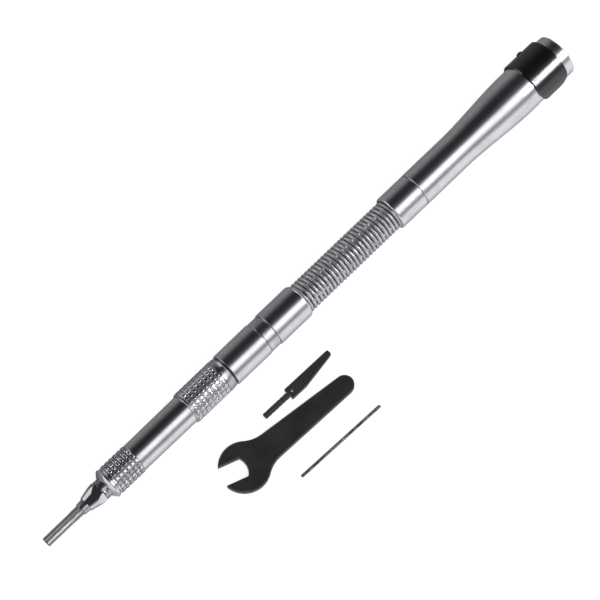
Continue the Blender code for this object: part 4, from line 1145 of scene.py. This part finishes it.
def make_floor():
    """A plain white floor that keeps the soft shadows."""
    bpy.ops.object.select_all(action="DESELECT")
    bpy.ops.mesh.primitive_plane_add(size=6.0)
    floor = bpy.context.object
    floor.name = "floor"
    paper = bpy.data.materials.new("white_paper")
    paper.use_nodes = True
    tree = paper.node_tree
    shader = tree.nodes["Principled BSDF"]
    set_in(shader, Base_Color=(0.6, 0.6, 0.6, 1.0), Roughness=0.9, Emission_Color=(1, 1, 1, 1))
    shader.inputs["Specular IOR Level"].default_value = 0.0
    seen = add(tree, "ShaderNodeLightPath")
    mirrored = sum_up(tree, "MAXIMUM", seen.outputs["Is Glossy Ray"], seen.outputs["Is Transmission Ray"])
    shown = sum_up(tree, "MAXIMUM", seen.outputs["Is Camera Ray"], mirrored)
    glow = 0.72
    tree.links.new(sum_up(tree, "MULTIPLY", shown, glow), shader.inputs["Emission Strength"])
    floor.data.materials.append(paper)


def make_card(name, near, far, at_tool, away):
    """A card that lies beside the tool and shows only in its metal: darker at the tool, as in its shadow."""
    bpy.ops.object.select_all(action="DESELECT")
    bpy.ops.mesh.primitive_plane_add(size=1.0)
    card = bpy.context.object
    card.name = name
    length, above_floor = 4.0, 0.2 * MM
    size = Matrix.Diagonal((length, abs(far - near), 1.0, 1.0))
    card.matrix_world = Matrix.Translation((0, TIP.y + (near + far) / 2, above_floor)) @ size
    settle()
    tone = bpy.data.materials.new(name)
    tone.use_nodes = True
    tree = tone.node_tree
    tree.nodes.clear()
    where = add(tree, "ShaderNodeTexCoord")
    split = add(tree, "ShaderNodeSeparateXYZ")
    tree.links.new(where.outputs["Object"], split.inputs[0])
    distance = sum_up(tree, "ABSOLUTE", sum_up(tree, "SUBTRACT", split.outputs["Y"], TIP.y), 0.0)
    share = spread(tree, distance, 6 * MM, 18 * MM, 0.0, 1.0)
    glow = add(tree, "ShaderNodeEmission")
    tree.links.new(blend_colors(tree, share, at_tool, away), glow.inputs["Color"])
    result = add(tree, "ShaderNodeOutputMaterial")
    tree.links.new(glow.outputs[0], result.inputs["Surface"])
    card.data.materials.append(tone)
    card.visible_camera = False
    card.visible_diffuse = False
    card.visible_transmission = False
    card.visible_shadow = False


def level_color(tree, level):
    """A very slightly blue grey of a given level."""
    made = add(tree, "ShaderNodeCombineColor")
    for name, share in (("Red", 0.985), ("Green", 0.985), ("Blue", 1.02)):
        tree.links.new(sum_up(tree, "MULTIPLY", level, share), made.inputs[name])
    return made.outputs["Color"]


def between(tree, value, start, end, soft):
    """One between two values and nothing outside them, with soft edges."""
    rise = spread(tree, value, start - soft, start + soft, 0.0, 1.0)
    fall = spread(tree, value, end - soft, end + soft, 1.0, 0.0)
    return sum_up(tree, "MULTIPLY", rise, fall)


def make_studio():
    """The room that the metal mirrors, by the lean of a ray from straight up towards -Y, in degrees: grey,
    dark above the tool, a long softbox that is brightest at the mouth, and a pale wall. The ends are pale."""
    tones = [
        (-120, 0.26), (-92, 0.215), (-75, 0.19), (-64, 0.145), (-54, 0.085), (-44, 0.042), (-34, 0.026),
        (-18, 0.024), (-8, 0.04), (2, 0.08), (8, 0.15), (13, 0.33), (18, 0.68), (23, 1.0), (30, 1.2),
        (42, 1.2), (49, 0.92), (55, 0.62), (61, 0.4), (67, 0.29), (72, 0.33), (78, 0.48), (84, 0.62),
        (90, 0.74),
    ]
    world = bpy.data.worlds.new("studio")
    bpy.context.scene.world = world
    world.use_nodes = True
    tree = world.node_tree
    where = add(tree, "ShaderNodeTexCoord")
    split = add(tree, "ShaderNodeSeparateXYZ")
    tree.links.new(where.outputs["Generated"], split.inputs[0])
    lean = sum_up(tree, "ARCTAN2", sum_up(tree, "MULTIPLY", split.outputs["Y"], -1.0), split.outputs["Z"])
    lean = sum_up(tree, "MULTIPLY", lean, 180 / math.pi)
    along = split.outputs["X"]
    level = None
    for (low, first), (high, second) in zip(tones, tones[1:]):
        step = add(tree, "ShaderNodeMapRange", interpolation_type="LINEAR")
        tree.links.new(lean, step.inputs["Value"])
        start = 0.0 if level else first
        end = second - first if level else second
        set_in(step, From_Min=low, From_Max=high, To_Min=start, To_Max=end)
        level = sum_up(tree, "ADD", level, step.outputs["Result"]) if level else step.outputs["Result"]
    level = sum_up(tree, "MULTIPLY", level, spread(tree, along, 0.0, 0.4, 0.85, 1.15))
    dark, hot, pale = (0.03, 0.03, 0.032), (30.0, 30.0, 30.7), (0.78, 0.78, 0.81)

    # No softbox for rays that lean to the nose, and its hot core for those that lean to the mouth
    ahead = spread(tree, along, -0.24, -0.16, 1.0, 0.0)
    no_box = sum_up(tree, "MULTIPLY", between(tree, lean, -40.0, 66.0, 4.0), ahead)
    room = blend_colors(tree, no_box, level_color(tree, level), dark)
    at_mouth = between(tree, along, 0.345, 0.4, 0.014)
    core = sum_up(tree, "MULTIPLY", between(tree, lean, 25.0, 50.0, 5.0), at_mouth)
    room = blend_colors(tree, core, room, hot)

    # Pale walls: on the far side for rays that lean to the nose or far outwards, and at both ends
    outward = sum_up(tree, "ABSOLUTE", along, 0.0)
    nose_side = spread(tree, along, -0.12, 0.02, 1.0, 0.0)
    sides = sum_up(tree, "MAXIMUM", nose_side, spread(tree, outward, 0.52, 0.7, 0.0, 1.0))
    far_wall = sum_up(tree, "MULTIPLY", spread(tree, lean, -48.0, -30.0, 1.0, 0.0), sides)
    nose_wall = spread(tree, along, -0.96, -0.88, 1.0, 0.0)
    end_walls = sum_up(tree, "MAXIMUM", spread(tree, along, 0.78, 0.93, 0.0, 1.0), nose_wall)
    room = blend_colors(tree, sum_up(tree, "MAXIMUM", far_wall, end_walls), room, pale)

    # Only mirrors show the room: the view sees white, and plain light is an even grey
    seen = add(tree, "ShaderNodeLightPath")
    light = blend_colors(tree, seen.outputs["Is Glossy Ray"], (0.6, 0.6, 0.6), room)
    open_view = sum_up(tree, "MAXIMUM", seen.outputs["Is Camera Ray"], seen.outputs["Is Transmission Ray"])
    light = blend_colors(tree, open_view, light, (1.0, 1.0, 1.0))
    tree.links.new(light, tree.nodes["Background"].inputs["Color"])


def make_lamp():
    """One soft lamp high on the camera's side, which the metal doesn't mirror."""
    lamp = bpy.data.lights.new("soft_lamp", "AREA")
    lamp.shape = "RECTANGLE"
    lamp.size = 0.9
    lamp.size_y = 0.5
    lamp.energy = 2.4
    hung = bpy.data.objects.new("soft_lamp", lamp)
    bpy.context.scene.collection.objects.link(hung)
    lean, height = 35, 0.8
    hung.matrix_world = about("X", lean) @ Matrix.Translation((0, 0, height))
    hung.visible_glossy = False


def make_camera():
    """The photograph's view: a long lens from high up on the nose's left."""
    elevation, azimuth, distance = math.radians(68.74), math.radians(45.456), 0.7409
    level = Vector((math.sin(azimuth), math.cos(azimuth), 0))
    right = Vector((math.cos(azimuth), -math.sin(azimuth), 0))
    forward = level * math.cos(elevation) - Vector((0, 0, math.sin(elevation)))
    upward = right.cross(forward)
    station, offset = 95.7, 0.03
    aim = TIP + ALONG * station * MM + Vector((0, offset * MM, 0))
    lens = bpy.data.cameras.new("camera")
    lens.lens = 162.9
    lens.sensor_width = 36.0
    lens.clip_start = 0.01
    camera = bpy.data.objects.new("camera", lens)
    bpy.context.scene.collection.objects.link(camera)
    turn = Matrix((right, upward, -forward)).transposed().to_4x4()
    camera.matrix_world = Matrix.Translation(aim - forward * distance) @ turn
    bpy.context.scene.camera = camera


make_floor()
make_card("grey_card", 0.0, 1.5, (0.13, 0.13, 0.135), (0.22, 0.22, 0.23))
make_card("pale_card", -1.5, 0.0, (0.42, 0.42, 0.44), (0.82, 0.82, 0.86))
make_studio()
make_lamp()
make_camera()
bpy.context.scene.view_settings.view_transform = "Standard"
